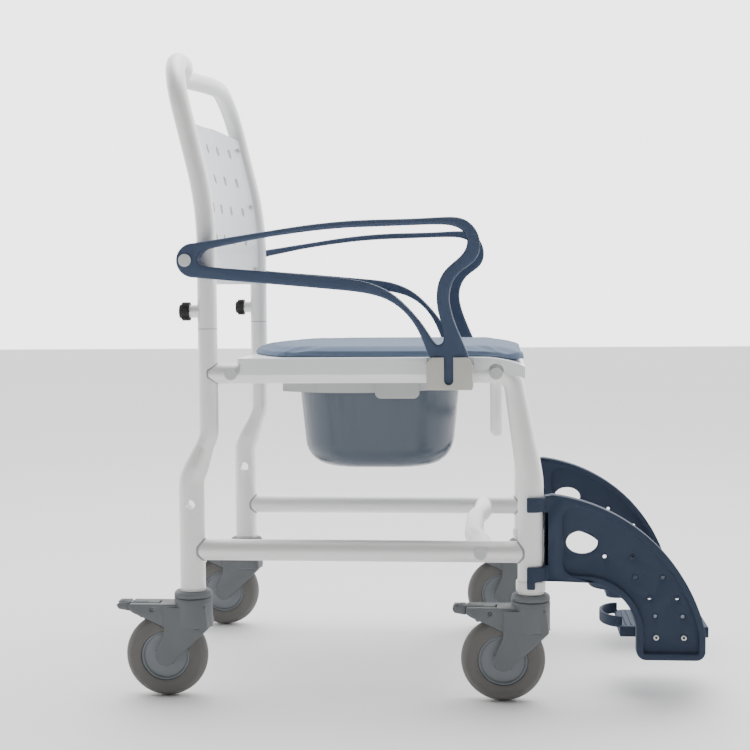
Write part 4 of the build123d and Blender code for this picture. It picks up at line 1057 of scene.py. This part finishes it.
@dataclass
class Caster:
    """One braked swivel caster."""

    end: str
    side: str
    trail: float = 41.0 * MM
    tread_start: float = 46.0 * MM
    tread_full: float = 55.0 * MM
    fork_edge: float = 2.2 * MM
    pedal_edge: float = 1.2 * MM
    core_edge: float = 0.7 * MM
    tyre_edge: float = 0.9 * MM
    # section radius of the dark rings painted as the shadow where the core meets the tyre
    groove_shadow: float = 0.5 * MM
    groove_inset: float = 0.2 * MM
    core_dish: float = 1.4 * MM
    collar_radius: float = 28.0 * MM
    collar_bead: float = 1.1 * MM
    collar_drop: float = 4.0 * MM
    rib_count: int = 5
    rib_edge: float = 0.4 * MM
    tip_start: float = 3.6 * MM
    tip_pitch: float = 3.4 * MM
    tip_rib: tuple[float, float, float] = (1.3 * MM, 22.0 * MM, 1.6 * MM)
    lever_start: float = 26.0 * MM
    lever_pitch: float = 5.0 * MM
    lever_drop: float = 1.0 * MM
    lever_rib: tuple[float, float, float] = (1.8 * MM, 14.0 * MM, 1.8 * MM)

    @property
    def tag(self) -> str:
        """The end and side that its nodes are named by."""
        return f"{self.end}_{self.side}"

    def build(self) -> None:
        """Builds the caster's pieces."""
        tag = self.tag
        fork = Bench.softened(f"caster_fork_{tag}", self.fork_edge)
        Bench.adopt(fork, f"caster_{tag}", CASTER, f"caster_fork_{tag}")
        self.housing_lines()
        pedal = Bench.softened(f"caster_pedal_{tag}", self.pedal_edge)
        Bench.adopt(pedal, f"brake_{tag}", CASTER, f"caster_pedal_{tag}")
        self.pedal_ribs()
        Bench.dress(STEEL, f"caster_axle_{tag}")
        core = Bench.softened(f"caster_core_{tag}", self.core_edge, 2)
        Bench.adopt(core, f"wheel_{tag}", CORE, f"caster_core_{tag}")
        self.tyre()
        self.core_groove_shadows()

    def tyre(self) -> None:
        """The tyre, with the worn band marked from its shoulders to its tread."""
        tag = self.tag
        centre = Bench.middle(f"caster_tyre_{tag}")
        tyre = Bench.softened(f"caster_tyre_{tag}", self.tyre_edge, 2)
        worn = []
        for vertex in tyre.data.vertices:
            radius = math.hypot(vertex.co.x - centre.x, vertex.co.z - centre.z)
            share = (radius - self.tread_start) / (self.tread_full - self.tread_start)
            worn.append(min(max(share, 0.0), 1.0))
        Bench.mark(tyre, "tread", worn)
        Bench.adopt(tyre, f"wheel_{tag}", TYRE, f"caster_tyre_{tag}")

    def core_groove_shadows(self) -> None:
        """Fine dark rings on both faces of the wheel's core, painted as the shadow in the gap where the
        core meets the tyre.
        """
        tag = self.tag
        low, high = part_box(f"caster_core_{tag}")
        centre = (low + high) / 2
        radius = (high.z - low.z) / 2 - self.groove_inset
        rings = []
        for face in (low.y + self.core_dish, high.y - self.core_dish):
            at = Vector((centre.x, face, centre.z))
            # painted shadow: thin black rings where the core meets the tyre
            rings.append(Bench.ring(f"core_shadow_ring_{tag}", at, Axis.Y.vector, radius, self.groove_shadow))
        Bench.adopt(Bench.joined(f"core_shadow_rings_{tag}", rings), f"wheel_{tag}", KNOB)

    def housing_lines(self) -> None:
        """The raised collar round the top of the swivel housing."""
        tag = self.tag
        centre = Bench.middle(f"caster_tyre_{tag}")
        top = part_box(f"caster_fork_{tag}")[1].z
        at = Vector((centre.x + self.trail, centre.y, top - self.collar_drop))
        name = f"housing_collar_{tag}"
        collar = Bench.ring(name, at, Axis.Z.vector, self.collar_radius, self.collar_bead)
        Bench.adopt(collar, f"caster_{tag}", CASTER)

    def pedal_ribs(self) -> None:
        """Cross ribs on top of the brake pedal, at its tip and along its lever."""
        tag = self.tag
        low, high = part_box(f"caster_pedal_{tag}")
        middle = (low.y + high.y) / 2
        ribs = []
        for number in range(self.rib_count):
            tip = Vector((low.x + self.tip_start + number * self.tip_pitch, middle, high.z))
            ribs.append(Bench.bar(f"tip_rib_{tag}_{number}", tip, self.tip_rib, self.rib_edge))
        for number in range(self.rib_count):
            along = low.x + self.lever_start + number * self.lever_pitch
            lever = Vector((along, middle, high.z - self.lever_drop))
            ribs.append(Bench.bar(f"lever_rib_{tag}_{number}", lever, self.lever_rib, self.rib_edge))
        Bench.adopt(Bench.joined(f"pedal_ribs_{tag}", ribs), f"brake_{tag}", CASTER)


# --------------------------------------------------------------------- studio
@dataclass
class Studio:
    """The floor, the lights and the camera."""

    eye: tuple[float, float, float] = (0.133, -2.2835, 0.6137)
    yaw: float = 5.07
    pitch: float = 3.56
    roll: float = -0.47
    lens: float = 67.16
    floor_size: float = 24.0
    front_sky: float = 0.18
    rear_sky: float = 3.6

    def build(self) -> None:
        """Builds the whole studio."""
        self.floor()
        self.lights()
        self.camera()

    def floor(self) -> None:
        """A plain pale floor."""
        Bench.clear()
        bpy.ops.mesh.primitive_plane_add(size=self.floor_size)
        floor = bpy.context.object
        floor.name = "studio_floor"
        board = NodeBoard("studio_floor")
        tint = board.span(board.noise(0.6, 2.0), 0.3, 0.7)
        board.wire(board.blend(tint, (0.9, 0.9, 0.9), (0.92, 0.92, 0.92)), "Base Color")
        board.fixed(Roughness=0.7)
        floor.data.materials.append(board.material)

    def lights(self) -> None:
        """A bright surround, a large overhead light and a soft front fill."""
        world = bpy.data.worlds.new("surround")
        world.use_nodes = True
        nodes, links = world.node_tree.nodes, world.node_tree.links
        background = nodes["Background"]
        background.inputs["Color"].default_value = (1.0, 1.0, 1.0, 1.0)
        direction = nodes.new("ShaderNodeTexCoord")
        parts = nodes.new("ShaderNodeSeparateXYZ")
        links.new(direction.outputs["Generated"], parts.inputs["Vector"])
        fade = nodes.new("ShaderNodeMapRange")
        fade.inputs["From Min"].default_value = -0.3
        fade.inputs["From Max"].default_value = 0.7
        fade.inputs["To Min"].default_value = self.front_sky
        fade.inputs["To Max"].default_value = self.rear_sky
        links.new(parts.outputs["Y"], fade.inputs["Value"])
        links.new(fade.outputs["Result"], background.inputs["Strength"])
        bpy.context.scene.world = world
        self.area("overhead", (0.2, 0.3, 3.2), (0.0, 0.0, 0.5), 2.4, 75.0)
        self.area("front_fill", (-2.4, -2.6, 1.4), (0.0, 0.0, 0.4), 1.4, 6.0)

    def area(self, name: str, at: tuple[float, float, float], aim: tuple[float, float, float],
             size: float, power: float) -> None:
        """A square soft light.

        Args:
            name: the light's name.
            at: where it is.
            aim: the point that it faces.
            size: its side.
            power: its power in watts.
        """
        data = bpy.data.lights.new(name, "AREA")
        data.size = size
        data.energy = power
        light = bpy.data.objects.new(name, data)
        light.location = at
        light.rotation_euler = (Vector(aim) - Vector(at)).to_track_quat("-Z", "Y").to_euler()
        bpy.context.scene.collection.objects.link(light)

    def camera(self) -> None:
        """The camera, a little below the armrests' height, seeing the chair's right side."""
        yaw, pitch, roll = (math.radians(a) for a in (self.yaw, self.pitch, self.roll))
        flat = math.cos(pitch)
        forward = Vector((-math.sin(yaw) * flat, math.cos(yaw) * flat, -math.sin(pitch)))
        level = Vector((math.cos(yaw), math.sin(yaw), 0.0))
        upright = level.cross(forward)
        right = level * math.cos(roll) + upright * math.sin(roll)
        up = upright * math.cos(roll) - level * math.sin(roll)
        data = bpy.data.cameras.new("camera")
        data.lens = self.lens
        data.sensor_width = 36.0
        camera = bpy.data.objects.new("camera", data)
        turn = Matrix((right, up, -forward)).transposed()
        camera.matrix_world = Matrix.Translation(self.eye) @ turn.to_4x4()
        bpy.context.scene.collection.objects.link(camera)
        bpy.context.scene.camera = camera


def main() -> None:
    """Builds every sub-assembly in order."""
    logging.basicConfig(level=logging.INFO, format="%(name)s: %(message)s")
    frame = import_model()
    Bench.nodes = frame["nodes"]
    TubeFrame().build()
    Backrest().build()
    Seat().build()
    SeatPad().build()
    Armrests().build()
    Bench.dress(CASTER, "caster_caps")
    for side in SIDES:
        Footrest(side).build()
        for end in ENDS:
            Caster(end, side).build()
    Studio().build()
    Bench.clear()


if __name__ == "__main__":
    main()
